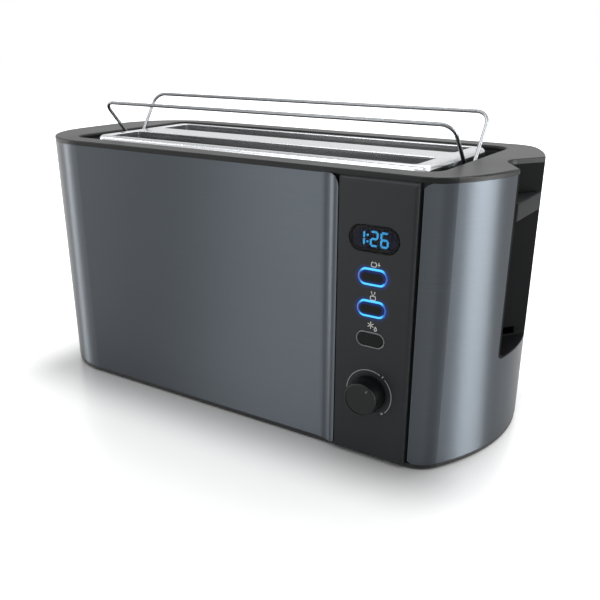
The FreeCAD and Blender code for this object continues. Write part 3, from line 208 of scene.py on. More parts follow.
mill_aluminium = rolled_sheet("mill_finish_aluminium", "#a3a6a8", "#c2c5c7", roughness=0.38, streak=1.2)
for name in ("outer_reflectors", "centre_reflector", "crumb_tray"):
    finish_node(name, mill_aluminium)

# Bread guards, bread lifts and other wire
# Welded grids of drawn stainless wire. Drawing leaves the wire bright, and the heat dulls it in
# patches. The guide rods, lift springs and rack pins are drawn from the same steel.

drawn_wire, tree = start_material("drawn_stainless_wire")
place = add_node(tree, "ShaderNodeTexCoord")
patches = add_node(tree, "ShaderNodeTexNoise", {"Scale": 70.0, "Detail": 4.0}, {"Vector": (place, "Object")})
tint = add_node(tree, "ShaderNodeMixRGB", {"Color1": linear("#8f9092"), "Color2": linear("#c6c7c8")},
                {"Fac": (patches, "Fac")})
rough = add_node(tree, "ShaderNodeMapRange", {"To Min": 0.18, "To Max": 0.4}, {"Value": (patches, "Fac")})
shader = add_node(tree, "ShaderNodeBsdfPrincipled", {"Metallic": 1.0},
                  {"Base Color": (tint, "Color"), "Roughness": (rough, "Result")})
close_material(tree, shader)
for name in ("front_slot_front_guard", "front_slot_rear_guard", "rear_slot_front_guard",
             "rear_slot_rear_guard", "front_bread_lift", "rear_bread_lift", "guide_rods", "rack_pins",
             "lift_springs"):
    finish_node(name, drawn_wire)

# Electromagnet winding
# Enamelled copper wire wound on the core's middle leg. Its turns run round the leg, so the coil shows
# level lines. The real wire is under 1 mm, too fine to show, so the lines are drawn 5 mm apart.

copper_winding, tree = start_material("enamelled_copper_winding")
place = add_node(tree, "ShaderNodeTexCoord")
turns = add_node(tree, "ShaderNodeTexWave", {"bands_direction": "Z", "Scale": 62.5},
                 {"Vector": (place, "Object")})
tint = add_node(tree, "ShaderNodeMixRGB", {"Color1": linear("#5a2a12"), "Color2": linear("#a85a2c")},
                {"Fac": (turns, "Fac")})
bump = add_node(tree, "ShaderNodeBump", {"Strength": 0.5, "Distance": 0.0003}, {"Height": (turns, "Fac")})
shader = add_node(tree, "ShaderNodeBsdfPrincipled", {"Roughness": 0.3, "IOR": 1.5},
                  {"Base Color": (tint, "Color"), "Normal": (bump, "Normal")})
close_material(tree, shader)
finish_node("magnet_coil", copper_winding)

# Crumb tray face
# A black ABS strip along the back edge of the aluminium tray, with a grip moulded under it.

finish_node("crumb_tray_face", black_abs)

# Circuit boards
# Green glass-fibre boards under a clear lacquer. The weave of the glass shows faintly through it, and
# is drawn coarser than it is. The relay, the capacitor and the push switches have black plastic cases.

board_green, tree = start_material("lacquered_fibreglass_board")
place = add_node(tree, "ShaderNodeTexCoord")
weave = add_node(tree, "ShaderNodeTexBrick",
                 {"Scale": repeats(1.4), "Color1": linear("#1c4a2b"), "Color2": linear("#225534"),
                  "Mortar": linear("#173d24"), "Mortar Size": 0.06}, {"Vector": (place, "Object")})
shader = add_node(tree, "ShaderNodeBsdfPrincipled", {"Roughness": 0.28, "IOR": 1.55},
                  {"Base Color": (weave, "Color")})
close_material(tree, shader)
for name in ("control_board", "power_board"):
    finish_node(name, board_green)
for name in ("power_parts", "button_switches"):
    finish_node(name, black_abs)

# Slot well
# A drawn steel tub under the top opening, enamelled dark against the heat. Enamel has a slight
# orange-peel surface. The brackets of the warming racks are enamelled the same.

dark_enamel, tree = start_material("dark_heatproof_enamel")
place = add_node(tree, "ShaderNodeTexCoord")
peel = add_node(tree, "ShaderNodeTexNoise", {"Scale": repeats(2.5), "Detail": 2.0},
                {"Vector": (place, "Object")})
tint = add_node(tree, "ShaderNodeMixRGB", {"Color1": linear("#1b1c1d"), "Color2": linear("#232425")},
                {"Fac": (peel, "Fac")})
bump = add_node(tree, "ShaderNodeBump", {"Strength": 0.12, "Distance": 0.0002}, {"Height": (peel, "Fac")})
shader = add_node(tree, "ShaderNodeBsdfPrincipled", {"Roughness": 0.38, "IOR": 1.5},
                  {"Base Color": (tint, "Color"), "Normal": (bump, "Normal")})
close_material(tree, shader)
finish_node("slot_well", dark_enamel)
finish_node("rack_brackets", dark_enamel)

# Slot plate
# Stainless steel pressed with two long slots whose edges turn down. It is polished on a belt, which
# leaves faint lines along it.

polished_steel = rolled_sheet("belt_polished_stainless", "#b2b5b8", "#c4c6c8",
                              roughness=0.22, streak=0.9)
finish_node("slot_plate", polished_steel)

# Lever recess and lever
# The recess is a dull black ABS channel. The lever pad is the same plastic with a slightly paler,
# smoother face where fingers press it.

recess_abs = moulded_abs("recess_abs_dull", "#111213", "#17181a",
                         roughness=0.6, grain=0.9, specular=0.03)
finish_node("lever_recess", recess_abs)
lever_abs = moulded_abs("lever_abs_satin", "#212324", "#27292a",
                        roughness=0.5, grain=0.8, specular=0.03)
finish_node("lever", lever_abs)

# Control fascia
# A charcoal ABS moulding between the two steel shells. A faint blue glow from the two lit rings is painted on
# its satin face as emission, a little way round each ring.

ring_centres = [(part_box(name)[0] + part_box(name)[1]) / 2
                for name in ("cancel_button", "defrost_button", "reheat_button")]
ring_half_run = 0.00515
ring_outer = 0.0060
# How far the painted glow reaches past the two lit rings.
ring_painted_glow_reach = 0.0030


def painted_glow_round(tree, place, centre, half_run, radius, reach):
    # Painted glow that falls away outside a level capsule of this half length and radius. It is 1 inside the
    # capsule and 0 from reach outside it.
    split = add_node(tree, "ShaderNodeSeparateXYZ", (), {"Vector": (place, "Object")})
    across = add_node(tree, "ShaderNodeMath", {"operation": "SUBTRACT", 1: centre.x}, {0: (split, "X")})
    side = add_node(tree, "ShaderNodeMath", {"operation": "ABSOLUTE"}, {0: (across, "Value")})
    past = add_node(tree, "ShaderNodeMath", {"operation": "SUBTRACT", 1: half_run}, {0: (side, "Value")})
    clear = add_node(tree, "ShaderNodeMath", {"operation": "MAXIMUM", 1: 0.0}, {0: (past, "Value")})
    up = add_node(tree, "ShaderNodeMath", {"operation": "SUBTRACT", 1: centre.z}, {0: (split, "Z")})
    flat = add_node(tree, "ShaderNodeCombineXYZ", (), {"X": (clear, "Value"), "Y": (up, "Value")})
    away = add_node(tree, "ShaderNodeVectorMath", {"operation": "LENGTH"}, {"Vector": (flat, "Vector")})
    return add_node(tree, "ShaderNodeMapRange",
                    {"interpolation_type": "SMOOTHERSTEP", "From Min": radius, "From Max": radius + reach,
                     "To Min": 1.0, "To Max": 0.0}, {"Value": (away, "Value")})


fascia_abs, tree = start_material("charcoal_abs_satin")
place = add_node(tree, "ShaderNodeTexCoord")
fine = add_node(tree, "ShaderNodeTexNoise", {"Scale": repeats(0.8), "Detail": 2.0},
                {"Vector": (place, "Object")})
broad = add_node(tree, "ShaderNodeTexNoise", {"Scale": 18.0, "Detail": 2.0}, {"Vector": (place, "Object")})
tint = add_node(tree, "ShaderNodeMixRGB", {"Color1": linear("#232527"), "Color2": linear("#292b2d")},
                {"Fac": (broad, "Fac")})
bump = add_node(tree, "ShaderNodeBump", {"Strength": 0.15, "Distance": 0.0001}, {"Height": (fine, "Fac")})
# Painted glow: emission on the fascia round the two lit rings.
first = painted_glow_round(tree, place, ring_centres[0], ring_half_run, ring_outer, ring_painted_glow_reach)
second = painted_glow_round(tree, place, ring_centres[1], ring_half_run, ring_outer, ring_painted_glow_reach)
both_rings = add_node(tree, "ShaderNodeMath", {"operation": "ADD"},
                      {0: (first, "Result"), 1: (second, "Result")})
painted_ring_glow = add_node(tree, "ShaderNodeMath", {"operation": "MULTIPLY", 1: 0.3}, {0: (both_rings, "Value")})
shader = add_node(tree, "ShaderNodeBsdfPrincipled",
                  {"Roughness": 0.46, "IOR": 1.52, "Specular IOR Level": 0.14,
                   "Emission Color": linear("#0b2f86")},
                  {"Base Color": (tint, "Color"), "Normal": (bump, "Normal"),
                   "Emission Strength": (painted_ring_glow, "Value")})
close_material(tree, shader)
finish_node("control_fascia", fascia_abs)

# Display
# A black display block behind a smoked acrylic lens. Its digits are bars of light blue light, and a faint
# blue glow round them is painted on the block as emission. An anti-glare coat keeps the lens's mirror image
# faint, so its IOR is set below that of bare acrylic.

digit_low, digit_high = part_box("display_digits")
digit_middle = (digit_low + digit_high) / 2
digit_half_run = (digit_high.x - digit_low.x) / 2
digit_painted_glow_radius = 0.0052
digit_painted_glow_reach = 0.0026

display_block, tree = start_material("black_display_block")
place = add_node(tree, "ShaderNodeTexCoord")
# Painted glow: emission on the block round the digits.
painted_digit_glow = painted_glow_round(tree, place, digit_middle, digit_half_run, digit_painted_glow_radius, digit_painted_glow_reach)
grain = add_node(tree, "ShaderNodeTexNoise", {"Scale": 900.0, "Detail": 1.0}, {"Vector": (place, "Object")})
tint = add_node(tree, "ShaderNodeMixRGB", {"Color1": linear("#060709"), "Color2": linear("#0a0b0e")},
                {"Fac": (grain, "Fac")})
soft = add_node(tree, "ShaderNodeMath", {"operation": "MULTIPLY", 1: 0.4}, {0: (painted_digit_glow, "Result")})
shader = add_node(tree, "ShaderNodeBsdfPrincipled",
                  {"Roughness": 0.5, "Specular IOR Level": 0.1, "Emission Color": linear("#06247a")},
                  {"Base Color": (tint, "Color"), "Emission Strength": (soft, "Value")})
close_material(tree, shader)
finish_node("display_module", display_block)

lit_bars, tree = start_material("lit_display_bars")
place = add_node(tree, "ShaderNodeTexCoord")
uneven = add_node(tree, "ShaderNodeTexNoise", {"Scale": 260.0, "Detail": 1.0}, {"Vector": (place, "Object")})
tint = add_node(tree, "ShaderNodeMixRGB", {"Color1": linear("#27a9f5"), "Color2": linear("#62d8ff")},
                {"Fac": (uneven, "Fac")})
shader = add_node(tree, "ShaderNodeBsdfPrincipled",
                  {"Base Color": linear("#0b3d66"), "Roughness": 0.4, "Emission Strength": 6.5},
                  {"Emission Color": (tint, "Color")})
close_material(tree, shader)
finish_node("display_digits", lit_bars)

smoked_acrylic, tree = start_material("smoked_acrylic_antiglare_lens")
place = add_node(tree, "ShaderNodeTexCoord")
film = add_node(tree, "ShaderNodeTexNoise", {"Scale": 120.0, "Detail": 2.0}, {"Vector": (place, "Object")})
rough = add_node(tree, "ShaderNodeMapRange", {"To Min": 0.04, "To Max": 0.1}, {"Value": (film, "Fac")})
shader = add_node(tree, "ShaderNodeBsdfPrincipled",
                  {"Base Color": linear("#54575c"), "IOR": 1.16, "Specular IOR Level": 0.3,
                   "Transmission Weight": 1.0},
                  {"Roughness": (rough, "Result")})
close_material(tree, shader)
finish_node("display_window", smoked_acrylic)

# Button rings
# Clear acrylic light rings round the buttons. Two are lit by lamps above and below the button, so their long
# sides are brightest and their ends are deep blue, with a violet highlight painted into the glow at the left
# end. The third is off.

ring_bright_side = 0.0068
ring_dim_end = 0.0102
ring_violet_highlight_start = 0.0092
ring_violet_highlight_end = 0.0104


def ring_light(name, centres):
    # Both lit rings have the same place from side to side, so the first one's centre serves for both.
    material, tree = start_material(name)
    place = add_node(tree, "ShaderNodeTexCoord")
    split = add_node(tree, "ShaderNodeSeparateXYZ", (), {"Vector": (place, "Object")})
    across = add_node(tree, "ShaderNodeMath", {"operation": "SUBTRACT", 1: centres[0].x}, {0: (split, "X")})
    side = add_node(tree, "ShaderNodeMath", {"operation": "ABSOLUTE"}, {0: (across, "Value")})
    bright = add_node(tree, "ShaderNodeMapRange",
                      {"interpolation_type": "SMOOTHSTEP", "From Min": ring_bright_side,
                       "From Max": ring_dim_end, "To Min": 1.0, "To Max": 0.0}, {"Value": (side, "Value")})
    # Painted highlight: the glow turns violet at the left end of each lit ring.
    painted_violet_highlight = add_node(tree, "ShaderNodeMapRange",
                       {"From Min": -ring_violet_highlight_start, "From Max": -ring_violet_highlight_end},
                       {"Value": (across, "Value")})
    end_tint = add_node(tree, "ShaderNodeMixRGB", {"Color1": linear("#1d50b8"), "Color2": linear("#7470d0")},
                        {"Fac": (painted_violet_highlight, "Result")})
    tint = add_node(tree, "ShaderNodeMixRGB", {"Color2": linear("#3db8f7")},
                    {"Fac": (bright, "Result"), "Color1": (end_tint, "Color")})
    power = add_node(tree, "ShaderNodeMapRange", {"To Min": 0.55, "To Max": 1.35},
                     {"Value": (bright, "Result")})
    shader = add_node(tree, "ShaderNodeBsdfPrincipled", {"Base Color": linear("#0b3d66"), "Roughness": 0.25},
                      {"Emission Color": (tint, "Color"), "Emission Strength": (power, "Result")})
    close_material(tree, shader)
    return material


finish_node("lit_button_rings", ring_light("lit_acrylic_ring", ring_centres[:2]))

unlit_acrylic, tree = start_material("unlit_acrylic_ring")
place = add_node(tree, "ShaderNodeTexCoord")
film = add_node(tree, "ShaderNodeTexNoise", {"Scale": 200.0, "Detail": 2.0}, {"Vector": (place, "Object")})
tint = add_node(tree, "ShaderNodeMixRGB", {"Color1": linear("#4a4c4f"), "Color2": linear("#5c5e61")},
                {"Fac": (film, "Fac")})
shader = add_node(tree, "ShaderNodeBsdfPrincipled", {"Roughness": 0.22, "IOR": 1.49},
                  {"Base Color": (tint, "Color")})
close_material(tree, shader)
finish_node("dark_button_ring", unlit_acrylic)

# Buttons
# Near-black satin ABS caps, a little smoother than the fascia round them. The two inside lit rings have a
# deep blue glow painted along their edges as emission.

cap_unlit_radius = 0.0018
cap_painted_glow_reach = 0.0026

button_abs = moulded_abs("button_abs_smooth", "#101112", "#161718",
                         roughness=0.4, grain=0.7, specular=0.08)
finish_node("reheat_button", button_abs)

painted_edge_glow_abs, tree = start_material("button_abs_painted_edge_glow")
place = add_node(tree, "ShaderNodeTexCoord")
fine = add_node(tree, "ShaderNodeTexNoise", {"Scale": repeats(0.7), "Detail": 2.0},
                {"Vector": (place, "Object")})
bump = add_node(tree, "ShaderNodeBump", {"Strength": 0.2, "Distance": 0.0001}, {"Height": (fine, "Fac")})
tint = add_node(tree, "ShaderNodeMixRGB", {"Color1": linear("#101112"), "Color2": linear("#161718")},
                {"Fac": (fine, "Fac")})
first = painted_glow_round(tree, place, ring_centres[0], ring_half_run, cap_unlit_radius, cap_painted_glow_reach)
second = painted_glow_round(tree, place, ring_centres[1], ring_half_run, cap_unlit_radius, cap_painted_glow_reach)
middle = add_node(tree, "ShaderNodeMath", {"operation": "ADD"}, {0: (first, "Result"), 1: (second, "Result")})
# Painted glow: emission that grows from the middle of the cap out to its edge.
edge = add_node(tree, "ShaderNodeMapRange", {"To Min": 0.75, "To Max": 0.0}, {"Value": (middle, "Value")})
shader = add_node(tree, "ShaderNodeBsdfPrincipled",
                  {"Roughness": 0.4, "IOR": 1.52, "Specular IOR Level": 0.08,
                   "Emission Color": linear("#0a2a78")},
                  {"Base Color": (tint, "Color"), "Normal": (bump, "Normal"),
                   "Emission Strength": (edge, "Result")})
close_material(tree, shader)
for name in ("cancel_button", "defrost_button"):
    finish_node(name, painted_edge_glow_abs)

# Browning knob
# A moulded ABS knob with a half-gloss coat. Fine circular lines, as from turning, run round its face.
# It is pressed on the encoder's shaft.

knob_low, knob_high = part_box("browning_knob")
knob_centre = (knob_low + knob_high) / 2
knob_line_pitch = 0.0009

knob_gloss, tree = start_material("gloss_coated_abs_knob")
place = add_node(tree, "ShaderNodeTexCoord")
centred = add_node(tree, "ShaderNodeMapping", {"Location": (-knob_centre.x, 0.0, -knob_centre.z)},
                   {"Vector": (place, "Object")})
split = add_node(tree, "ShaderNodeSeparateXYZ", (), {"Vector": (centred, "Vector")})
flat = add_node(tree, "ShaderNodeCombineXYZ", (), {"X": (split, "X"), "Y": (split, "Z")})
away = add_node(tree, "ShaderNodeVectorMath", {"operation": "LENGTH"}, {"Vector": (flat, "Vector")})
turning = add_node(tree, "ShaderNodeMath", {"operation": "MULTIPLY", 1: 2 * math.pi / knob_line_pitch},
                   {0: (away, "Value")})
wave = add_node(tree, "ShaderNodeMath", {"operation": "SINE"}, {0: (turning, "Value")})
bump = add_node(tree, "ShaderNodeBump", {"Strength": 0.06, "Distance": 0.0001}, {"Height": (wave, "Value")})
film = add_node(tree, "ShaderNodeTexNoise", {"Scale": 90.0, "Detail": 2.0}, {"Vector": (place, "Object")})
tint = add_node(tree, "ShaderNodeMixRGB", {"Color1": linear("#0f1011"), "Color2": linear("#161718")},
                {"Fac": (film, "Fac")})
shader = add_node(tree, "ShaderNodeBsdfPrincipled",
                  {"Roughness": 0.28, "IOR": 1.52, "Specular IOR Level": 0.16},
                  {"Base Color": (tint, "Color"), "Normal": (bump, "Normal")})
close_material(tree, shader)
finish_node("browning_knob", knob_gloss)

# Steel shells
# Stainless sheet brushed along its length and given a thin blue-grey tinted lacquer. The brushing
# stretches highlights upright, so bends show as tall soft bands. Its lines are too fine to show and
# are drawn 0.7 mm apart.

brushed_steel, tree = start_material("blue_grey_brushed_stainless")
place = add_node(tree, "ShaderNodeTexCoord")
run = add_node(tree, "ShaderNodeMapping", {"Scale": (9.0, 9.0, repeats(0.7))}, {"Vector": (place, "Object")})
lines = add_node(tree, "ShaderNodeTexNoise", {"Scale": 1.0, "Detail": 4.0, "Roughness": 0.6},
                 {"Vector": (run, "Vector")})
cloud = add_node(tree, "ShaderNodeTexNoise", {"Scale": 7.0, "Detail": 2.0}, {"Vector": (place, "Object")})
shade = add_node(tree, "ShaderNodeMixRGB", {"Fac": 0.35},
                 {"Color1": (lines, "Fac"), "Color2": (cloud, "Fac")})
tint = add_node(tree, "ShaderNodeMixRGB", {"Color1": linear("#404448"), "Color2": linear("#4b5055")},
                {"Fac": (shade, "Color")})
rough = add_node(tree, "ShaderNodeMapRange", {"To Min": 0.4, "To Max": 0.48}, {"Value": (lines, "Fac")})
bump = add_node(tree, "ShaderNodeBump", {"Strength": 0.03, "Distance": 0.00005}, {"Height": (lines, "Fac")})
round_body = add_node(tree, "ShaderNodeTangent", {"direction_type": "RADIAL", "axis": "Z"})
shader = add_node(tree, "ShaderNodeBsdfPrincipled",
                  {"Metallic": 1.0, "Anisotropic": 1.0, "Anisotropic Rotation": 0.25},
                  {"Base Color": (tint, "Color"), "Roughness": (rough, "Result"), "Normal": (bump, "Normal"),
                   "Tangent": (round_body, "Tangent")})
close_material(tree, shader)
for name in ("left_shell", "right_shell"):
    finish_node(name, brushed_steel)

# Seam strip and cord bush
# At the back a black ABS strip covers the seam between the shells. A rubber bush sits in it, where
# the cord goes in.

finish_node("rear_strip", black_abs)
finish_node("cord_inlet", rubber)

# Top cover
# A black ABS moulding with a satin top. Seen almost edge on it mirrors the pale room, so it looks
# grey.

cover_abs = moulded_abs("cover_abs_satin", "#101112", "#161718",
                        roughness=0.36, grain=0.9, specular=0.12)
finish_node("top_cover", cover_abs)

# Warming racks
# Two racks bent from stainless wire with a satin finish. Each swings on pins in the brackets at the
# two ends of the slot plate.

rack_wire = rolled_sheet("satin_rack_wire", "#626466", "#7a7c7e", roughness=0.3, streak=2.0)
for name in ("front_warming_rack", "rear_warming_rack"):
    finish_node(name, rack_wire)

# Printed symbols
# White ink, screen printed on the fascia above each button: a slice with an arrow, a slice under
# rising heat, and a snowflake with a drop.


def screen_print(name, thin_colour, full_colour):
    # Ink lies a little unevenly, so its colour varies in specks.
    material, tree = start_material(name)
    place = add_node(tree, "ShaderNodeTexCoord")
    specks = add_node(tree, "ShaderNodeTexNoise", {"Scale": 1500.0, "Detail": 2.0},
                      {"Vector": (place, "Object")})
    tint = add_node(tree, "ShaderNodeMixRGB", {"Color1": linear(thin_colour), "Color2": linear(full_colour)},
                    {"Fac": (specks, "Fac")})
    shader = add_node(tree, "ShaderNodeBsdfPrincipled", {"Roughness": 0.55, "IOR": 1.5},
                      {"Base Color": (tint, "Color")})
    close_material(tree, shader)
    return material


white_ink = screen_print("white_screen_print_ink", "#c9c6c0", "#f2efe8")

fascia_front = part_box("display_window")[0].y
ink_thickness = 0.00006
ink_y = fascia_front - ink_thickness


def select_none():
    # Operators act on all that is selected, so each new piece starts from nothing selected.
    for thing in bpy.context.selected_objects:
        thing.select_set(False)


def stroke(start, end, width, y=ink_y):
    # A straight printed line between two places given as (right, up), on the face at this y.
    # It runs half its width past both places, as a pen would.
    run = Vector((end[0] - start[0], end[1] - start[1]))
    select_none()
    bpy.ops.mesh.primitive_plane_add(size=1)
    line = bpy.context.object
    line.scale = (run.length + width, width, 1)
    line.rotation_euler = (math.pi / 2, -math.atan2(run.y, run.x), 0)
    line.location = ((start[0] + end[0]) / 2, y, (start[1] + end[1]) / 2)
    bpy.ops.object.transform_apply(location=True, rotation=True, scale=True)
    return line


def slice_outline(right, up, wide, high, corner, width):
    # The outline of a slice: a rounded plate whose middle is inset and taken away.
    select_none()
    bpy.ops.mesh.primitive_plane_add(size=1)
    plate = bpy.context.object
    plate.scale = (wide, high, 1)
    bpy.ops.object.transform_apply(scale=True)
    bpy.ops.object.mode_set(mode="EDIT")
    bpy.ops.mesh.select_all(action="SELECT")
    bpy.ops.mesh.bevel(offset=corner, segments=5, affect="VERTICES")
    bpy.ops.mesh.select_all(action="SELECT")
    bpy.ops.mesh.inset(thickness=width, use_boundary=True)
    bpy.ops.mesh.delete(type="FACE")
    bpy.ops.object.mode_set(mode="OBJECT")
    plate.rotation_euler = (math.pi / 2, 0, 0)
    plate.location = (right, ink_y, up)
    bpy.ops.object.transform_apply(location=True, rotation=True, scale=True)
    return plate


def finish_print(parts, name, coat, body="housing"):
    # Joins the parts, gives the ink its thickness and lets it ride on what it is printed on.
    select_none()
    for part in parts:
        part.select_set(True)
    bpy.context.view_layer.objects.active = parts[0]
    if len(parts) > 1:
        bpy.ops.object.join()
    ink = bpy.context.object
    ink.name = name
    thick = ink.modifiers.new("ink", "SOLIDIFY")
    thick.thickness = ink_thickness
    thick.offset = 0
    bpy.ops.object.modifier_apply(modifier=thick.name)
    bpy.ops.object.mode_set(mode="EDIT")
    bpy.ops.mesh.select_all(action="SELECT")
    bpy.ops.mesh.normals_make_consistent(inside=False)
    bpy.ops.object.mode_set(mode="OBJECT")
    ink.data.materials.clear()
    ink.data.materials.append(coat)
    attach(ink, body)


def strokes(centre, width, lines):
    # Lines of one width about a centre. Each goes from (right, up) to (right, up), in millimetres.
    x, z = centre
    return [stroke((x + a / 1000, z + b / 1000), (x + c / 1000, z + d / 1000), width)
            for (a, b), (c, d) in lines]


symbol_line = 0.00055
thin_line = 0.8 * symbol_line
thick_line = 1.2 * symbol_line
symbol_rise = 0.0087
arrow_symbol_right = 0.0006
heat_symbol_right = 0.0009
flake_rise = 0.0104
slice_wide = 0.0042
flake_arm = 0.0022
drop_right, drop_down = 0.0036, 0.0022

x, z = ring_centres[0].x + arrow_symbol_right, ring_centres[0].z + symbol_rise
finish_print(
    [slice_outline(x, z - 0.0002, slice_wide, high=0.0034, corner=0.0012, width=symbol_line)]
    + strokes((x, z), thin_line, [((-0.9, 1.6), (-0.2, 1.2)), ((0.2, 1.2), (0.9, 1.6))])
    + strokes((x, z), symbol_line, [((3.6, 1.3), (3.6, -0.9)), ((3.6, -0.9), (2.9, 0.0)),
                                    ((3.6, -0.9), (4.3, 0.0))]),
    "symbol_slice_arrow", white_ink)

x, z = ring_centres[1].x + heat_symbol_right, ring_centres[1].z + symbol_rise
finish_print(
    [slice_outline(x, z - 0.0010, slice_wide, high=0.0032, corner=0.0009, width=symbol_line)]
    + strokes((x, z), thick_line, [((-1.3, 3.1), (-1.0, 1.9))])
    + strokes((x, z), thin_line, [((-1.0, 1.9), (-0.1, 0.8))])
    + strokes((x, z), thick_line, [((1.2, 3.1), (1.0, 1.9))])
    + strokes((x, z), thin_line, [((1.0, 1.9), (0.1, 0.8))]),
    "symbol_slice_heat", white_ink)

x, z = ring_centres[2].x, ring_centres[2].z + flake_rise
flake = [stroke((x + flake_arm * math.cos(angle), z + flake_arm * math.sin(angle)),
                (x - flake_arm * math.cos(angle), z - flake_arm * math.sin(angle)), symbol_line)
         for angle in (math.pi / 2, math.pi / 6, -math.pi / 6)]
drop_x, drop_z = x + drop_right, z - drop_down
drop = slice_outline(drop_x, drop_z - 0.0004, wide=0.0022, high=0.0022, corner=0.0009, width=symbol_line)
drop_point = strokes((drop_x, drop_z), 0.9 * symbol_line,
                     [((0.0, 1.7), (-0.8, 0.3)), ((0.0, 1.7), (0.8, 0.3))])
finish_print(flake + [drop] + drop_point, "symbol_flake_drop", white_ink)

# Browning scale
# A thin printed arc round the knob, open at the lower left, with a mark in a gap and a dot past its
# end. The knob has a short printed pointer that stands at the mark. Hours are those of a clock.

scale_radius = 0.0174
scale_line = 0.00050
scale_vertices = 144
open_from, open_to = 4.42, 9.08
mark_gap_from, mark_gap_to = 0.95, 1.38
mark_hour = 1.16
dot_hour = 4.68
dot_radius = 0.0008
pointer_hour = 1.14
pointer_from, pointer_to = 0.0080, 0.0093
pointer_seat_depth = 0.00035


def scale_point(radius, hour):
    # A place round the knob, at this hour of a clock face.
    angle = hour / 12 * 2 * math.pi
    return knob_centre.x + radius * math.sin(angle), knob_centre.z + radius * math.cos(angle)


select_none()
bpy.ops.mesh.primitive_circle_add(vertices=scale_vertices, radius=scale_radius)
arc = bpy.context.object
bpy.ops.object.mode_set(mode="EDIT")
bpy.ops.mesh.select_all(action="SELECT")
bpy.ops.mesh.extrude_region_move()
bpy.ops.transform.resize(value=[(scale_radius - scale_line) / scale_radius] * 2 + [1])
bpy.ops.object.mode_set(mode="OBJECT")
arc.rotation_euler = (math.pi / 2, 0, 0)
arc.location = (knob_centre.x, ink_y, knob_centre.z)
bpy.ops.object.transform_apply(location=True, rotation=True, scale=True)
for face in arc.data.polygons:
    spot = face.center
    hour = (math.atan2(spot.x - knob_centre.x, spot.z - knob_centre.z) / (2 * math.pi) * 12) % 12
    face.select = open_from < hour < open_to or mark_gap_from < hour < mark_gap_to
bpy.ops.object.mode_set(mode="EDIT")
bpy.ops.mesh.delete(type="FACE")
bpy.ops.object.mode_set(mode="OBJECT")
mark = stroke(scale_point(scale_radius - 0.0003, mark_hour), scale_point(scale_radius + 0.0006, mark_hour),
              width=0.0008)
select_none()
bpy.ops.mesh.primitive_circle_add(vertices=24, radius=dot_radius, fill_type="NGON")
dot = bpy.context.object
dot.rotation_euler = (math.pi / 2, 0, 0)
dot_x, dot_z = scale_point(scale_radius - dot_radius, dot_hour)
dot.location = (dot_x, ink_y, dot_z)
bpy.ops.object.transform_apply(location=True, rotation=True, scale=True)
grey_ink = screen_print("grey_screen_print_ink", "#8e8f90", "#b0b1b2")
finish_print([arc, mark, dot], "browning_scale", grey_ink)

pointer_y = knob_low.y + pointer_seat_depth - ink_thickness
pointer = stroke(scale_point(pointer_from, pointer_hour), scale_point(pointer_to, pointer_hour),
                 width=0.0009, y=pointer_y)
dark_ink = screen_print("dark_grey_print_ink", "#4c4d4e", "#666768")
finish_print([pointer], "knob_pointer", dark_ink, body="knob")

# Floor and room
# A seamless white gloss board in an even white room. It takes a soft shadow and a blurred mirror image
# of the object. A lift that only the camera and gloss see grows from nothing under the body to full
# white half a metre away, so the shadow stays and the rest is plain white.

floor_side = 12
footprint_half = (0.165, 0.075, 0.0)
near_lift_end = 0.07
far_lift_start, far_lift_end = 0.03, 0.5
half_white = 0.5
room_light = 0.55

select_none()
bpy.ops.mesh.primitive_plane_add(size=floor_side)
floor = bpy.context.object
floor.name = "floor"
gloss_board, tree = start_material("white_gloss_board")
rays = add_node(tree, "ShaderNodeLightPath")
place = add_node(tree, "ShaderNodeTexCoord")
plain = add_node(tree, "ShaderNodeVectorMath", {"operation": "ABSOLUTE"}, {"Vector": (place, "Object")})
past = add_node(tree, "ShaderNodeVectorMath", {"operation": "SUBTRACT", 1: footprint_half},
                {"Vector": (plain, "Vector")})
outside = add_node(tree, "ShaderNodeVectorMath", {"operation": "MAXIMUM", 1: (0.0, 0.0, 0.0)},
                   {"Vector": (past, "Vector")})
away = add_node(tree, "ShaderNodeVectorMath", {"operation": "LENGTH"}, {"Vector": (outside, "Vector")})
near = add_node(tree, "ShaderNodeMapRange",
                {"interpolation_type": "SMOOTHSTEP", "From Min": 0.0, "From Max": near_lift_end,
                 "To Min": 0.0, "To Max": half_white}, {"Value": (away, "Value")})
open_floor = add_node(tree, "ShaderNodeMapRange",
                      {"interpolation_type": "SMOOTHSTEP", "From Min": far_lift_start,
                       "From Max": far_lift_end, "To Min": 0.0, "To Max": half_white},
                      {"Value": (away, "Value")})
far = add_node(tree, "ShaderNodeMath", {"operation": "ADD"}, {0: (near, "Result"), 1: (open_floor, "Result")})
seen = add_node(tree, "ShaderNodeMath", {"operation": "MAXIMUM"},
                {0: (rays, "Is Camera Ray"), 1: (rays, "Is Glossy Ray")})
share = add_node(tree, "ShaderNodeMath", {"operation": "MULTIPLY"}, {0: (far, "Value"), 1: (seen, "Value")})
board = add_node(tree, "ShaderNodeBsdfPrincipled",
                 {"Base Color": linear("#f6f6f6"), "Roughness": 0.5, "Coat Weight": 1.0, "Coat IOR": 1.7,
                  "Coat Roughness": 0.25})
lift = add_node(tree, "ShaderNodeEmission", {"Color": linear("#ffffff")}, {"Strength": (share, "Value")})
both = add_node(tree, "ShaderNodeAddShader", (), {0: (board, "BSDF"), 1: (lift, "Emission")})
close_material(tree, both)
floor.data.materials.append(gloss_board)

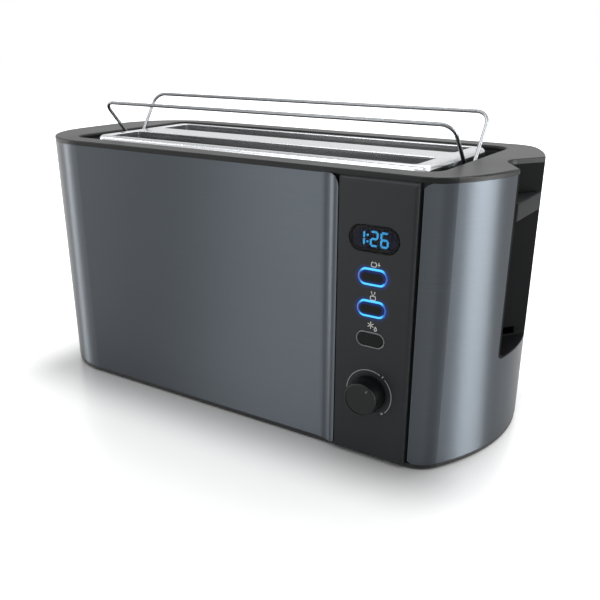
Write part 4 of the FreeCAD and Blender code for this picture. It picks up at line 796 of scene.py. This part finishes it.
world = bpy.data.worlds.new("white_room")
bpy.context.scene.world = world
world.use_nodes = True
tree = world.node_tree
tree.nodes.clear()
rays = add_node(tree, "ShaderNodeLightPath")
direct = add_node(tree, "ShaderNodeMath", {"operation": "MAXIMUM"},
                  {0: (rays, "Is Camera Ray"), 1: (rays, "Is Glossy Ray")})
seen = add_node(tree, "ShaderNodeMath", {"operation": "MAXIMUM"},
                {0: (direct, "Value"), 1: (rays, "Is Transmission Ray")})
strength = add_node(tree, "ShaderNodeMapRange", {"To Min": room_light, "To Max": 1.0},
                    {"Value": (seen, "Value")})
room = add_node(tree, "ShaderNodeBackground", {"Color": linear("#ffffff")},
                {"Strength": (strength, "Result")})
add_node(tree, "ShaderNodeOutputWorld", (), {"Surface": (room, "Background")})

# Lamps
# One broad soft box behind and above gives the even light and the shadow in front. The strips only
# draw bands of shine: on the lever end, on the left end and the shell's swung edge, over the front
# and along the cover.


def soft_box(name, location, target, wide, tall, watts, shine_only=True):
    # A lamp for shine only shows in the gloss of things and leaves the even light as it is.
    select_none()
    bpy.ops.object.light_add(type="AREA", location=location)
    lamp = bpy.context.object
    lamp.name = name
    lamp.data.shape = "RECTANGLE"
    lamp.data.size = wide
    lamp.data.size_y = tall
    lamp.data.energy = watts
    lamp.rotation_euler = (Vector(target) - Vector(location)).to_track_quat("-Z", "Y").to_euler()
    lamp.visible_camera = False
    lamp.visible_diffuse = not shine_only


soft_box("key_box", (0.1, 0.9, 1.3), (0, 0, 0.1), wide=1.6, tall=1.2, watts=12.0, shine_only=False)
soft_box("lever_end_strip", (0.75, 0.17, 0.45), (0.19, -0.04, 0.45), wide=0.22, tall=0.9, watts=9.0)
soft_box("left_end_strip", (-4.0, -1.20, 2.0), (-0.16, -0.07, 2.0), wide=0.75, tall=4.0, watts=92.0)
soft_box("front_left_strip", (-0.50, -1.00, 0.45), (0.08, -0.08, 0.45), wide=0.4, tall=0.9, watts=3.4)
soft_box("overhead_strip", (0.0, -0.45, 1.15), (0, -0.05, 0.2), wide=1.4, tall=0.25, watts=9.0)

# Camera
# It stands in front and to the right, a little higher than the cover, and looks down at the body. A
# small shift of the lens puts the body where the photo has it in the frame.

camera_place = (0.3498, -0.50267, 0.2791)
camera_tilt, camera_turn = 67.352, 33.333

bpy.ops.object.camera_add(location=camera_place,
                          rotation=(math.radians(camera_tilt), 0, math.radians(camera_turn)))
camera = bpy.context.object
camera.data.lens = 45.85
camera.data.sensor_width = 36
camera.data.shift_x = 0.00725
camera.data.shift_y = 0.0853
bpy.context.scene.camera = camera
bpy.context.scene.view_settings.view_transform = "Standard"
